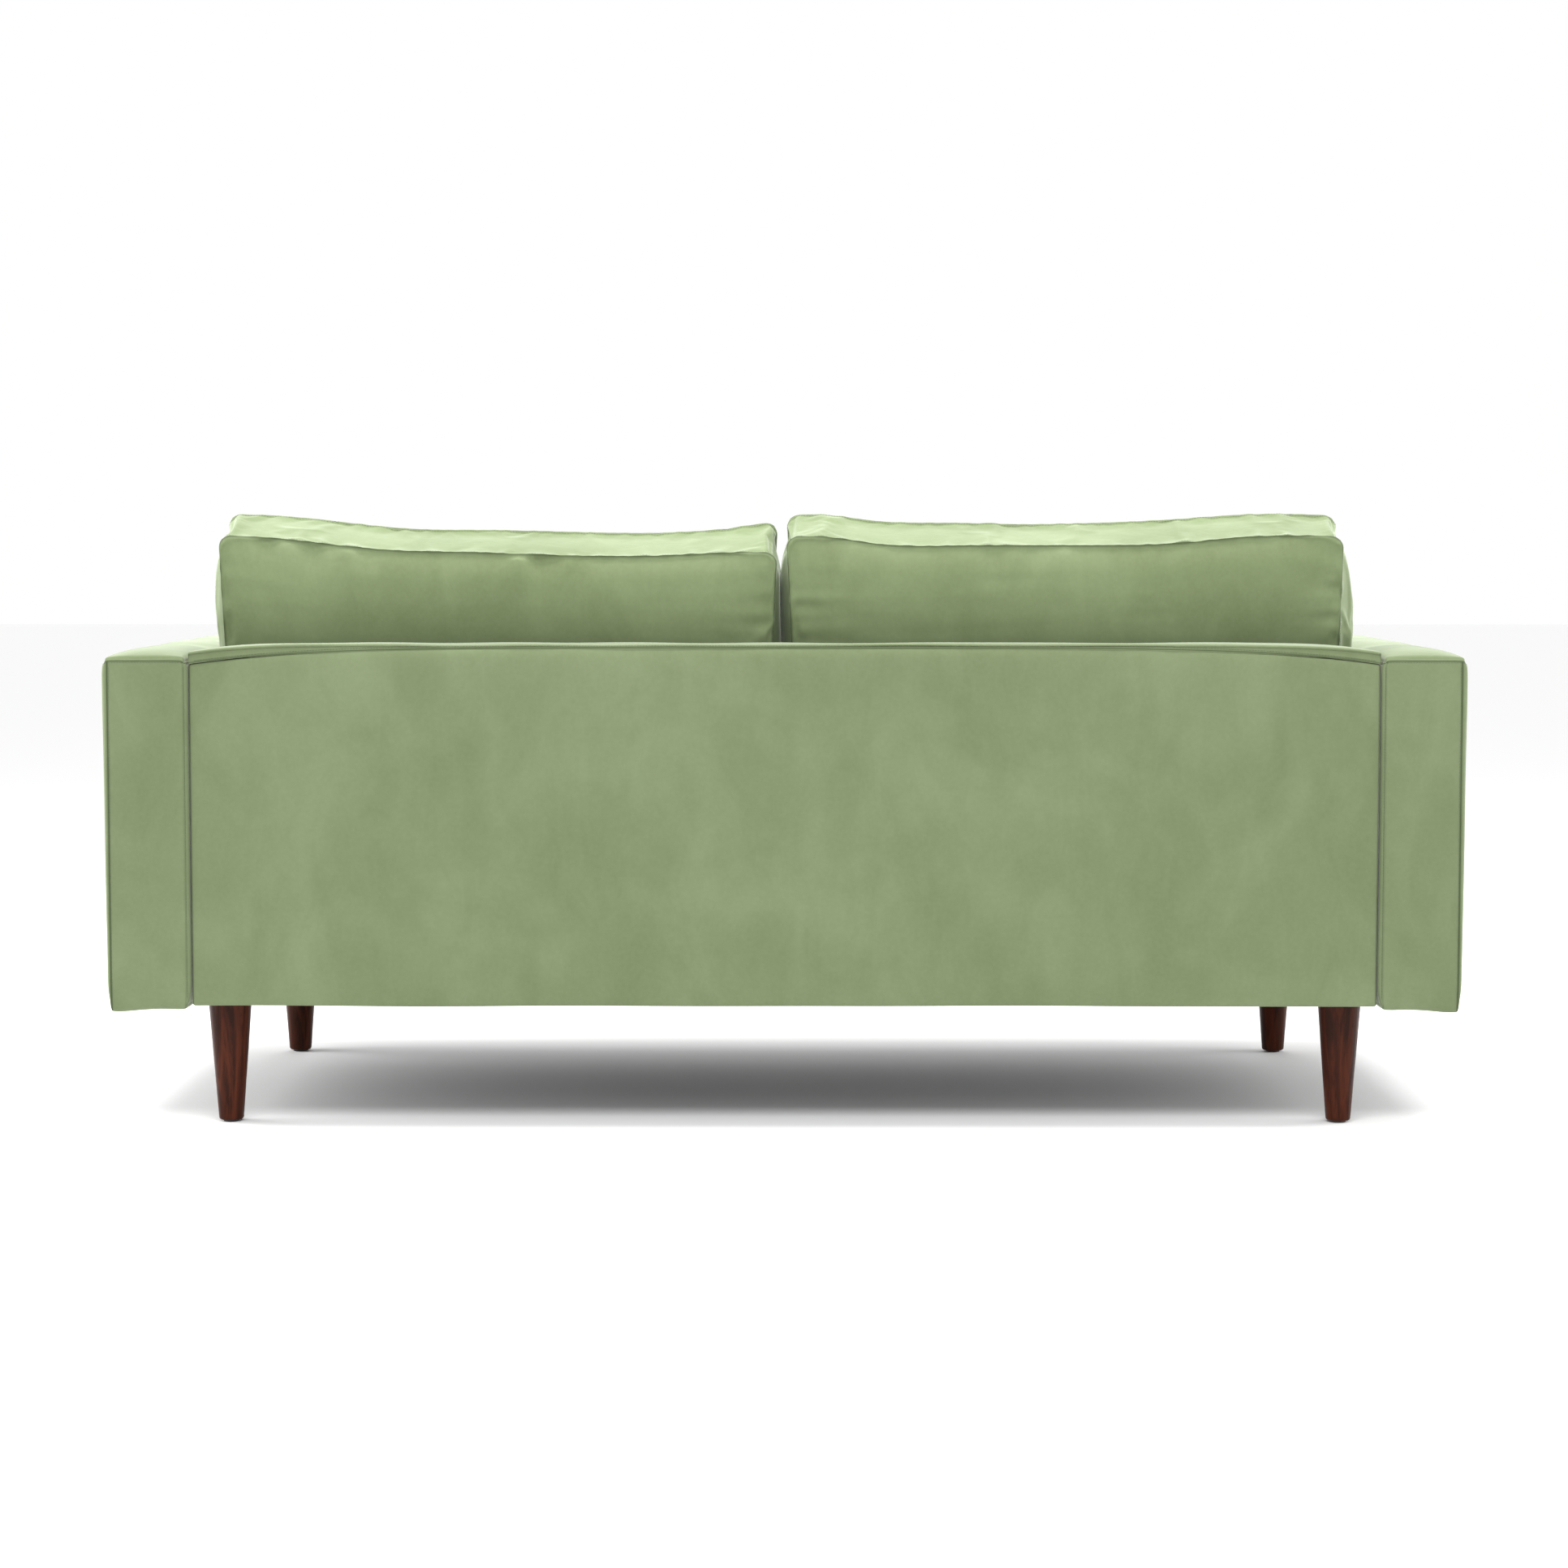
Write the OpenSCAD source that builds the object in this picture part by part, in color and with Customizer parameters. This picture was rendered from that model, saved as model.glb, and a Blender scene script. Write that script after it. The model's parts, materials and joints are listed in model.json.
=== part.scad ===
// Two-seat boxed sofa on four turned legs. Millimetres.
// +Z up, -Y towards the person's knees, +X to the sitter's left.
// Origin on the floor, in the middle of the width and the depth.

/* [Overall] */
// Width across both arms
sofa_w = 1980; // [1960:5:2060]
// Depth over the arms
sofa_d = 860; // [850:5:900]
// Smoothness of round surfaces
round_fn = 64; // [32:8:128]

/* [Legs] */
// Height of the timber frame above the floor
leg_h = 183; // [150:1:185]
// Diameter of a leg where it meets the frame
leg_top_d = 64; // [56:1:68]
// Diameter of a leg at the floor
leg_foot_d = 36; // [30:1:44]
// Distance between the left and right legs
leg_span_x = 1640; // [1620:1:1644]
// Distance from the rear of the arms to the rear legs
leg_inset_rear = 75; // [70:1:80]
// Distance from the front of the arms to the front legs
leg_inset_front = 95; // [90:1:100]
// Height of the plastic glide under a leg
glide_h = 2.5; // [1.5:0.5:4]

/* [Arms] */
// Width of one arm
arm_w = 126; // [120:1:132]
// Height of the seam around the top of an arm
arm_seam_z = 684; // [670:1:690]
// Rise of the crowned arm top above that seam
arm_rise = 19; // [12:1:24]
// Height of the underside of an arm
arm_bottom_z = 175; // [172:1:178]

/* [Seat] */
// Height of the seat platform, under the seat cushions
deck_z = 302; // [300:1:310]
// Thickness of a seat cushion in its middle
seat_cushion_t = 150; // [130:5:160]
// Rise of a seat cushion's crown from its sides to its middle
seat_crown = 12; // [6:1:16]
// Number of zig-zag springs
spring_count = 8; // [6:1:12]

/* [Back] */
// Height of the top rail's upper face
back_rail_z = 690; // [685:1:695]
// Thickness of a back cushion
back_cushion_t = 160; // [140:5:170]
// Lean of the back cushions from upright, in degrees
recline = 12; // [8:1:14]
// How far a back cushion rises above the back, along its lean
back_cushion_rise = 162; // [130:2:170]
// Offset of the joint between the back cushions from the middle
back_gap_x = 5; // [0:1:8]

/* [Hidden] */
$fn = round_fn;

// colours
velvet = [0.62, 0.69, 0.52];
timber = [0.80, 0.66, 0.45];
walnut = [0.23, 0.12, 0.09];
steel = [0.62, 0.62, 0.64];
foam = [0.93, 0.90, 0.76];
black = [0.08, 0.08, 0.08];
board = [0.55, 0.42, 0.28];

// sides, as the sitter has them
left = 1;
right = -1;

// overall planes
half_w = sofa_w / 2;
front_y = -sofa_d / 2;
rear_y = sofa_d / 2;
arm_in_x = half_w - arm_w;

// how far a cutter passes the surface it cuts
past = 1;

// a point on the rear plane of the back cushions, from the arms' rear and the top rail
lean_inset = 95;
lean_rise = 16;
back_line_y = rear_y - lean_inset;
back_line_z = back_rail_z + lean_rise;

// timber frame
rail_t = 28;
rail_h = 110;
frame_fit = 2;
frame_front_inset = 16;
frame_rear_inset = 10;
frame_x = arm_in_x - frame_fit;
frame_front_y = front_y + frame_front_inset;
frame_rear_y = rear_y - frame_rear_inset;
rail_z0 = leg_h;
rail_z1 = leg_h + rail_h;
stretcher_w = 40;
stretcher_h = 50;
stretcher_z1 = rail_z0 + stretcher_h;
rib_t = 18;
block_h = 40;
block_l = 96;
block_w = 72;

// upholstery thicknesses
cover_t = 3;
arm_foam_t = 12;
pad_t = 12;
webbing_t = 1.8;
panel_t = 7;
panel_inset = 3;
skin_gap = 0.5;
hem_drop = 2;
hem_z = leg_h - hem_drop;

// arm frame, inside its cover and foam
core_x0 = arm_in_x + cover_t + arm_foam_t;
core_x1 = half_w - cover_t - arm_foam_t;
core_drop = 20;
core_top_z = arm_seam_z - core_drop;
core_bottom_z = arm_bottom_z + cover_t;
arm_post_t = 28;
arm_rail_t = 22;
arm_board_t = 4;
arm_base_h = 100;
arm_edge_r = 10;
flange_w = 24;
post_front_y = front_y + cover_t;
post_rear_y = rear_y - cover_t;

// bolts through the arm into the seat frame
bolt_r = 4;
bolt_fit = 0.05;
bolt_rise = 50;
bolt_z = rail_z0 + bolt_rise;
bolt_pitch = 300;
bolt_ys = [-bolt_pitch, 0, bolt_pitch];
bolt_end = 2;
bolt_head_r = 8;
bolt_head_t = 5;
nut_r = 7;
nut_t = 6;

// legs and their fixings
leg_x = leg_span_x / 2;
leg_front_y = front_y + leg_inset_front;
leg_rear_y = rear_y - leg_inset_rear;
foot_round_r = 3;
glide_r = 12;
hanger_in_leg = 35;
hanger_in_frame = 46;
hanger_z0 = leg_h - hanger_in_leg;
barrel_r = 5.5;
barrel_h = 15;
flange_r = 10;
flange_t = 2;

// springs
spring_wire = 3.8;
spring_amp = 21;
spring_pitch = 48;
spring_steps = 6;
spring_front_inset = 12;
spring_rear_reach = 30;
spring_y0 = frame_front_y + spring_front_inset;
spring_y1 = lean_y(rail_z1) + spring_rear_reach;
clip_t = 1.5;
clip_l = 16;
clip_w = 56;

// seat
dust_t = 1.5;
leg_clear = 1;
deck_t = 3;
seat_gap = 1;
arm_gap = 1.5;
seat_top_z = deck_z + seat_cushion_t;
seat_front_inset = 4;
seat_rear_gap = 3;
seat_front_y = front_y + seat_front_inset;
seat_rear_y = lean_y(deck_z) - seat_rear_gap;
seat_edge_r = 26;
seat_side_z = seat_top_z - seat_crown;
seat_x0 = seat_gap;
seat_x1 = arm_in_x - arm_gap;
seat_mid_x = (seat_x0 + seat_x1) / 2;

// back
back_edge_r = 22;
back_clear = 1;
back_x_in = 4;
back_side_gap = 25;
back_w = arm_in_x - back_side_gap;
back_mid_x = back_x_in + back_w / 2;
rest_gap = 0.5;
strap_w = 50;
strap_z0 = 330;
strap_pitch = 70;
strap_count = 5;
strap_fit = 0.05;

// arched seam and top of the band, from the top rail at the ends and in the middle
seam_end_drop = 9;
seam_mid_rise = 12;
top_end_rise = 9;
top_mid_rise = 17.5;
seam_end_z = back_rail_z - seam_end_drop;
seam_mid_z = back_rail_z + seam_mid_rise;
top_end_z = back_rail_z + top_end_rise;
top_mid_z = back_rail_z + top_mid_rise;
arch_steps = 32;
arch_power = 4;

// cushions
wrap_t = 6;
core_gap = 0.3;
zip_half_l = 330;
zip_slot = 12;
tape_t = 1.2;
slider_l = 24;
slider_w = 7;
slider_t = 3;
slider_inset = 20;
back_zip_y = lean_y(seat_top_z) - back_cushion_t / 2;
seat_zip_rise = 70;
seat_zip_z = deck_z + seat_zip_rise;

// rear plane of the back cushions: its depth at a height
function lean_y(z) = back_line_y + (z - back_line_z) * tan(recline);

// ---------- shared shapes ----------

module block(lo, hi) {
    translate(lo) cube(hi - lo);
}

// an XZ outline drawn out from y0 to y1
module along_y(y0, y1) {
    translate([0, y1, 0]) rotate([90, 0, 0]) linear_extrude(y1 - y0) children();
}

// a YZ outline drawn out from x0 to x1
module along_x(x0, x1) {
    translate([x0, 0, 0]) rotate([90, 0, 90]) linear_extrude(x1 - x0) children();
}

module round_rect(lo, hi, r) {
    translate([lo.x + r, lo.y]) square([hi.x - lo.x - 2 * r, hi.y - lo.y]);
    translate([lo.x, lo.y + r]) square([hi.x - lo.x, hi.y - lo.y - 2 * r]);
    for (x = [lo.x + r, hi.x - r], y = [lo.y + r, hi.y - r]) translate([x, y]) circle(r);
}

// a rectangle from x0 to x1 whose top rises from z_end at the sides to z_mid in the middle;
// a higher power keeps the middle flatter and turns down closer to the ends
module crowned(x0, x1, z0, z_end, z_mid, power = 2, steps = 16) {
    mid = (x0 + x1) / 2;
    half = (x1 - x0) / 2;
    polygon([
        [x0, z0],
        for (i = [0 : steps]) let (u = 2 * i / steps - 1)
            [mid + half * u, z_mid - (z_mid - z_end) * pow(abs(u), power)],
        [x1, z0],
    ]);
}

// a band across the back, flat underneath and arched on top
module arched(z0, z_end, z_mid) {
    half = arm_in_x - skin_gap;
    crowned(-half, half, z0, z_end, z_mid, arch_power, arch_steps);
}

// a strip that follows the lean of the back, between two offsets behind the cushions
module lean_strip(y_front, y_back, z0, z1) {
    polygon([
        [lean_y(z0) + y_front, z0], [lean_y(z0) + y_back, z0],
        [lean_y(z1) + y_back, z1], [lean_y(z1) + y_front, z1],
    ]);
}

module on_side(s) {
    if (s > 0) children();
    else mirror([1, 0, 0]) children();
}

module at_legs() {
    for (s = [right, left], y = [leg_front_y, leg_rear_y]) translate([s * leg_x, y, 0]) children();
}

// a bar along X through the arm bolts' places
module at_bolts(x0, x1, r) {
    for (y = bolt_ys) translate([x0, y, bolt_z]) rotate([0, 90, 0]) cylinder(x1 - x0, r = r);
}

// ---------- timber frame ----------

module front_rail() {
    color(timber)
    block([-frame_x, frame_front_y, rail_z0], [frame_x, frame_front_y + rail_t, rail_z1]);
}

module rear_rail() {
    color(timber)
    block([-frame_x, frame_rear_y - rail_t, rail_z0], [frame_x, frame_rear_y, rail_z1]);
}

module spring_rail() {
    y0 = lean_y(rail_z1) + pad_t + webbing_t;
    color(timber)
    block([-frame_x + rail_t, y0, stretcher_z1], [frame_x - rail_t, y0 + rail_t, rail_z1]);
}

module end_rail(s) {
    color(timber) on_side(s) difference() {
        block([frame_x - rail_t, frame_front_y + rail_t, rail_z0],
              [frame_x, frame_rear_y - rail_t, rail_z1]);
        at_bolts(frame_x - rail_t - past, frame_x + past, bolt_r + bolt_fit);
    }
}

module centre_stretcher() {
    color(timber)
    block([-stretcher_w / 2, frame_front_y + rail_t, rail_z0],
          [stretcher_w / 2, frame_rear_y - rail_t, stretcher_z1]);
}

module corner_blocks() {
    x1 = frame_x - rail_t;
    color(timber) difference() {
        for (s = [right, left]) on_side(s) {
            block([x1 - block_w, frame_front_y + rail_t, rail_z0],
                  [x1, frame_front_y + rail_t + block_l, rail_z0 + block_h]);
            block([x1 - block_w, frame_rear_y - rail_t - block_l, rail_z0],
                  [x1, frame_rear_y - rail_t, rail_z0 + block_h]);
        }
        at_legs() translate([0, 0, rail_z0 - past])
            cylinder(block_h + 2 * past, r = barrel_r + bolt_fit);
    }
}

// ---------- arms ----------

module arm_post(s, y0) {
    color(timber) on_side(s)
    block([core_x0, y0, core_bottom_z], [core_x1, y0 + arm_post_t, core_top_z]);
}

module arm_top_rail(s) {
    color(timber) on_side(s)
    block([core_x0, post_front_y + arm_post_t, core_top_z - arm_rail_t],
          [core_x1, post_rear_y - arm_post_t, core_top_z]);
}

module arm_base_rail(s) {
    color(timber) on_side(s) difference() {
        block([core_x0, post_front_y + arm_post_t, core_bottom_z],
              [core_x0 + rail_t, post_rear_y - arm_post_t, core_bottom_z + arm_base_h]);
        at_bolts(core_x0 - past, core_x0 + rail_t + past, bolt_r + bolt_fit);
    }
}

module arm_board(s) {
    color(board) on_side(s)
    block([core_x1 - arm_board_t, post_front_y + arm_post_t, core_bottom_z],
          [core_x1, post_rear_y - arm_post_t, core_top_z - arm_rail_t]);
}

module arm_outline(inset) {
    crowned(arm_in_x + inset, half_w - inset, arm_bottom_z + inset, arm_seam_z,
            arm_seam_z + arm_rise - inset);
}

// the foam runs up one side of the frame, over the top and down the other
module arm_foam(s) {
    color(foam) on_side(s) difference() {
        along_y(post_front_y, post_rear_y) difference() {
            arm_outline(cover_t);
            translate([core_x0, core_bottom_z - past])
                square([core_x1 - core_x0, core_top_z - core_bottom_z + past]);
        }
        at_bolts(arm_in_x, core_x0 + past, bolt_r + bolt_fit);
    }
}

// the cover closes all round and turns under the frame as a stapled flange
module arm_cover(s) {
    color(velvet) on_side(s) difference() {
        intersection() {
            along_y(front_y, rear_y) arm_outline(0);
            translate([0, 0, arm_bottom_z]) linear_extrude(arm_seam_z)
                round_rect([arm_in_x, front_y], [half_w, rear_y], arm_edge_r);
        }
        along_y(post_front_y, post_rear_y) arm_outline(cover_t);
        block([arm_in_x + flange_w, front_y + flange_w, arm_bottom_z - past],
              [half_w - flange_w, rear_y - flange_w, core_bottom_z + past]);
        at_bolts(arm_in_x - past, arm_in_x + cover_t + past, bolt_r + bolt_fit);
    }
}

// carriage bolts with their nuts, three to an arm
module arm_bolts() {
    head_x = core_x0 + rail_t;
    nut_x = frame_x - rail_t - nut_t;
    color(steel) for (s = [right, left]) on_side(s) {
        at_bolts(nut_x - bolt_end, head_x, bolt_r);
        at_bolts(head_x, head_x + bolt_head_t, bolt_head_r);
        difference() {
            at_bolts(nut_x, nut_x + nut_t, nut_r);
            at_bolts(nut_x - past, nut_x + nut_t + past, bolt_r + bolt_fit);
        }
    }
}

// ---------- back ----------

// plywood rib between the rear rail and the top rail
module back_rib(x0) {
    color(timber) along_x(x0, x0 + rib_t) polygon([
        [lean_y(rail_z1) + pad_t + webbing_t + back_clear, rail_z1],
        [frame_rear_y, rail_z1],
        [frame_rear_y, back_rail_z - arm_rail_t],
        [lean_y(back_rail_z - arm_rail_t) + pad_t + webbing_t + back_clear,
         back_rail_z - arm_rail_t],
    ]);
}

module back_top_rail() {
    z0 = back_rail_z - arm_rail_t;
    front = pad_t + webbing_t + back_clear;
    color(timber) along_x(-frame_x, frame_x) polygon([
        [lean_y(z0) + front, z0], [frame_rear_y, z0],
        [frame_rear_y, back_rail_z], [lean_y(back_rail_z) + front, back_rail_z],
    ]);
}

module back_webbing() {
    front = back_clear + pad_t + strap_fit;
    back = back_clear + pad_t + webbing_t - strap_fit;
    color(black) for (i = [0 : strap_count - 1]) let (z = strap_z0 + i * strap_pitch)
        along_x(-frame_x, frame_x) lean_strip(front, back, z, z + strap_w);
}

module inside_back_pad() {
    color(velvet) along_x(-frame_x, frame_x)
        lean_strip(back_clear, back_clear + pad_t, deck_z, back_rail_z);
}

module outer_back_panel() {
    y1 = rear_y - panel_inset;
    color(velvet) along_y(y1 - panel_t, y1) arched(hem_z, seam_end_z, seam_mid_z);
}

// padded cap over the top rail, turned down to the seam at the rear
module back_top_band() {
    y1 = rear_y - panel_inset;
    color(velvet) {
        along_y(lean_y(top_mid_z) + back_clear, y1 - panel_t)
            arched(back_rail_z, top_end_z, top_mid_z);
        along_y(y1 - panel_t, y1) difference() {
            arched(seam_end_z - past, top_end_z, top_mid_z);
            arched(seam_end_z - 2 * past, seam_end_z, seam_mid_z);
        }
    }
}

// ---------- legs ----------

// one turned, tapered leg with a blind hole for its hanger bolt
module leg(s, y) {
    foot_r = leg_foot_d / 2;
    color(walnut) translate([s * leg_x, y, 0]) difference() {
        rotate_extrude() {
            polygon([
                [0, glide_h], [foot_r - foot_round_r, glide_h],
                [foot_r, glide_h + foot_round_r],
                [leg_top_d / 2, leg_h], [0, leg_h],
            ]);
            intersection() {
                translate([foot_r - foot_round_r, glide_h + foot_round_r]) circle(foot_round_r);
                translate([0, glide_h]) square([foot_r, foot_round_r]);
            }
        }
        translate([0, 0, hanger_z0 - past])
            cylinder(hanger_in_leg + 2 * past, r = bolt_r + bolt_fit);
    }
}

module hanger_bolts() {
    color(steel) at_legs() translate([0, 0, hanger_z0])
        cylinder(hanger_in_leg + hanger_in_frame, r = bolt_r);
}

module tee_nuts() {
    top_z = rail_z0 + block_h;
    color(steel) at_legs() difference() {
        union() {
            translate([0, 0, top_z - barrel_h]) cylinder(barrel_h, r = barrel_r);
            translate([0, 0, top_z]) cylinder(flange_t, r = flange_r);
        }
        translate([0, 0, top_z - barrel_h - past])
            cylinder(barrel_h + flange_t + 2 * past, r = bolt_r + bolt_fit);
    }
}

module foot_glides() {
    color(black) at_legs() cylinder(glide_h, r = glide_r);
}

// ---------- seat platform ----------

// centre line of a zig-zag spring, as a wave along Y
function wave_x(y) = spring_amp * sin(360 * (y - spring_y0) / spring_pitch);
function wave_slope(y) =
    spring_amp * cos(360 * (y - spring_y0) / spring_pitch) * 2 * PI / spring_pitch;
function wave_side(y, off) = let (m = wave_slope(y), n = sqrt(1 + m * m))
    [wave_x(y) + off / n, y - off * m / n];

module spring_outline() {
    step = spring_pitch / spring_steps;
    ys = [for (y = [spring_y0 : step : spring_y1]) y];
    polygon([
        each [for (y = ys) wave_side(y, spring_wire / 2)],
        each [for (i = [len(ys) - 1 : -1 : 0]) wave_side(ys[i], -spring_wire / 2)],
    ]);
}

module at_springs() {
    step = 2 * (frame_x - rail_t) / spring_count;
    for (i = [0 : spring_count - 1]) translate([(i + 0.5) * step - frame_x + rail_t, 0, 0])
        children();
}

module seat_springs() {
    color(steel) at_springs() translate([0, 0, rail_z1]) linear_extrude(spring_wire)
        spring_outline();
}

module spring_clips() {
    z = rail_z1 + spring_wire;
    color(steel) at_springs() for (y = [spring_y0, spring_y1 - clip_l])
        block([-clip_w / 2, y, z], [clip_w / 2, y + clip_l, z + clip_t]);
}

module seat_deck() {
    color(velvet)
    block([-frame_x, frame_front_y + rail_t, deck_z - deck_t],
          [frame_x, lean_y(deck_z), deck_z]);
}

// fabric border over the front rail, turned back to the platform
module front_rail_cover() {
    color(velvet) along_x(-frame_x, frame_x) {
        translate([frame_front_y - 2 * cover_t, hem_z]) square([2 * cover_t, deck_z - hem_z]);
        translate([frame_front_y, deck_z - deck_t]) square([rail_t, deck_t]);
    }
}

// black cloth under the seat frame and in the open underside of each arm
module dust_cover() {
    arm_z = arm_bottom_z + skin_gap;
    color(black) {
        difference() {
            block([-frame_x, frame_front_y, leg_h - dust_t], [frame_x, frame_rear_y, leg_h]);
            at_legs() translate([0, 0, leg_h - dust_t - past])
                cylinder(dust_t + 2 * past, r = leg_top_d / 2 + leg_clear);
        }
        for (s = [left, right]) on_side(s)
            block([arm_in_x + flange_w, front_y + flange_w, arm_z],
                  [half_w - flange_w, rear_y - flange_w, arm_z + dust_t]);
    }
}

// ---------- seat cushions ----------

module seat_body(inset) {
    z0 = deck_z + core_gap + inset;
    x0 = seat_x0 + inset;
    x1 = seat_x1 - inset;
    y0 = seat_front_y + inset;
    y1 = seat_rear_y - inset;
    intersection() {
        along_y(y0, y1) crowned(x0, x1, z0, seat_side_z - inset, seat_top_z - inset);
        translate([0, 0, z0]) linear_extrude(seat_cushion_t)
            round_rect([x0, y0], [x1, y1], seat_edge_r);
        along_x(x0, x1) round_rect([y0, z0], [y1, seat_top_z - inset], seat_edge_r / 2);
    }
}

module seat_zip_slot(margin) {
    block([seat_mid_x - zip_half_l - margin, seat_rear_y - wrap_t - margin,
           seat_zip_z - zip_slot / 2 - margin],
          [seat_mid_x + zip_half_l + margin, seat_rear_y + margin,
           seat_zip_z + zip_slot / 2 + margin]);
}

module seat_cover(s) {
    color(velvet) on_side(s) difference() {
        seat_body(0);
        seat_body(wrap_t);
        seat_zip_slot(core_gap);
    }
}

module seat_core(s) {
    color(foam) on_side(s) seat_body(wrap_t + core_gap);
}

module seat_zip(s) {
    color(velvet) on_side(s)
    block([seat_mid_x - zip_half_l, seat_rear_y - wrap_t + core_gap, seat_zip_z - zip_slot / 2],
          [seat_mid_x + zip_half_l, seat_rear_y - wrap_t + core_gap + tape_t,
           seat_zip_z + zip_slot / 2]);
}

module seat_slider(s) {
    x1 = seat_mid_x + zip_half_l - slider_inset;
    y0 = seat_rear_y - wrap_t + 2 * core_gap + tape_t;
    color(steel) on_side(s) zip_slider([x1 - slider_l, y0, seat_zip_z - slider_w / 2],
                                       [slider_l, slider_t, slider_w]);
}

// slider body at the closed end with its flat pull tab
module zip_slider(at, size) {
    body_l = size.x / 2;
    translate(at + [body_l, 0, 0]) cube([body_l, size.y, size.z]);
    tab = [body_l, size.y / 2, size.z / 2];
    translate(at + [0, size.y / 4, size.z / 4]) cube(tab + [past, 0, 0]);
}

// ---------- back cushions ----------

module back_body(s, inset) {
    x_far = back_x_in + back_w - inset;
    x_near = back_x_in + inset;
    shift = back_gap_x * s;
    top = back_cushion_rise - inset;
    low = -2 * back_cushion_rise;
    y0 = -back_cushion_t + inset;
    y1 = -inset;
    difference() {
        translate([shift, back_line_y, back_line_z]) rotate([-recline, 0, 0]) intersection() {
            along_x(x_near, x_far) round_rect([y0, low], [y1, top], back_edge_r);
            along_y(y0, y1) round_rect([x_near, low], [x_far, top], back_edge_r);
        }
        block([-arm_w, -sofa_d, 0], [sofa_w, sofa_d, seat_top_z + rest_gap + inset]);
    }
}

module back_zip_block(s, half_l, half_w_y, z0, z1) {
    x = back_mid_x + back_gap_x * s;
    block([x - half_l, back_zip_y - half_w_y, z0], [x + half_l, back_zip_y + half_w_y, z1]);
}

module back_cover(s) {
    z0 = seat_top_z + rest_gap;
    color(velvet) on_side(s) difference() {
        back_body(s, 0);
        back_body(s, wrap_t);
        back_zip_block(s, zip_half_l + core_gap, zip_slot / 2 + core_gap, z0 - past,
                       z0 + wrap_t + core_gap);
    }
}

module back_core(s) {
    color(foam) on_side(s) back_body(s, wrap_t + core_gap);
}

module back_zip(s) {
    z1 = seat_top_z + rest_gap + wrap_t - core_gap;
    color(velvet) on_side(s) back_zip_block(s, zip_half_l, zip_slot / 2, z1 - tape_t, z1);
}

module back_slider(s) {
    x1 = back_mid_x + back_gap_x * s + zip_half_l - slider_inset;
    z1 = seat_top_z + rest_gap + wrap_t - 2 * core_gap - tape_t;
    color(steel) on_side(s) translate([x1 - slider_l, back_zip_y + slider_w / 2, z1])
        rotate([-90, 0, 0]) mirror([0, 0, 1]) zip_slider([0, 0, 0], [slider_l, slider_t, slider_w]);
}

// ---------- nodes ----------

front_rail();
rear_rail();
spring_rail();
end_rail(left);  // end_rail_left
end_rail(right);  // end_rail_right
centre_stretcher();
corner_blocks();
arm_post(left, post_front_y);  // arm_front_post_left
arm_post(right, post_front_y);  // arm_front_post_right
arm_post(left, post_rear_y - arm_post_t);  // arm_rear_post_left
arm_post(right, post_rear_y - arm_post_t);  // arm_rear_post_right
arm_top_rail(left);  // arm_top_rail_left
arm_top_rail(right);  // arm_top_rail_right
arm_base_rail(left);  // arm_base_rail_left
arm_base_rail(right);  // arm_base_rail_right
arm_board(left);  // arm_board_left
arm_board(right);  // arm_board_right
arm_foam(left);  // arm_foam_left
arm_foam(right);  // arm_foam_right
arm_cover(left);  // arm_cover_left
arm_cover(right);  // arm_cover_right
arm_bolts();
back_rib(frame_x - rib_t);  // back_rib_left
back_rib(-rib_t / 2);  // back_rib_centre
back_rib(-frame_x);  // back_rib_right
back_top_rail();
back_webbing();
inside_back_pad();
outer_back_panel();
back_top_band();
leg(left, leg_front_y);  // leg_front_left
leg(right, leg_front_y);  // leg_front_right
leg(left, leg_rear_y);  // leg_rear_left
leg(right, leg_rear_y);  // leg_rear_right
hanger_bolts();
tee_nuts();
foot_glides();
seat_springs();
spring_clips();
seat_deck();
front_rail_cover();
dust_cover();
seat_cover(left);  // seat_cover_left
seat_cover(right);  // seat_cover_right
seat_core(left);  // seat_core_left
seat_core(right);  // seat_core_right
seat_zip(left);  // seat_zip_left
seat_zip(right);  // seat_zip_right
seat_slider(left);  // seat_slider_left
seat_slider(right);  // seat_slider_right
back_cover(left);  // back_cover_left
back_cover(right);  // back_cover_right
back_core(left);  // back_core_left
back_core(right);  // back_core_right
back_zip(left);  // back_zip_left
back_zip(right);  // back_zip_right
back_slider(left);  // back_slider_left
back_slider(right);  // back_slider_right
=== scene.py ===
"""Velvet sofa on four turned legs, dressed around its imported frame. Metres, front towards -Y."""
import json
from math import cos, pi, radians, sin

import bmesh
import bpy
import numpy as np
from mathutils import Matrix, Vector
from mathutils.bvhtree import BVHTree


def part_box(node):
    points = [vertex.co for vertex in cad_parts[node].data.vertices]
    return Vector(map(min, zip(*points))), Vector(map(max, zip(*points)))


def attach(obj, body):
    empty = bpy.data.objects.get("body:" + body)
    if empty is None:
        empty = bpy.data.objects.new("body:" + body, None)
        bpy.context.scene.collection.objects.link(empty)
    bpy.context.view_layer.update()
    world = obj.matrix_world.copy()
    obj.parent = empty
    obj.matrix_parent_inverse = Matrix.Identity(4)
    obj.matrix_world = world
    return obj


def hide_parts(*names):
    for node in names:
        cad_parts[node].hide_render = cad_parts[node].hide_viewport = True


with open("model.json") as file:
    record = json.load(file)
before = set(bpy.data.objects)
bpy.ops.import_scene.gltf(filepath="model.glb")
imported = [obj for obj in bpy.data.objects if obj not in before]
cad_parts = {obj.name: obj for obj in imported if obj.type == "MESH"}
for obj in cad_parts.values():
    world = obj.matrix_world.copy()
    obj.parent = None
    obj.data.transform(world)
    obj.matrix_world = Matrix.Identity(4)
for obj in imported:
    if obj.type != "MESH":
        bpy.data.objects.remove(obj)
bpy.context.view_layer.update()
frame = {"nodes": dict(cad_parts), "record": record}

MM = 0.001
LEFT, RIGHT = 1, -1
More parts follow.
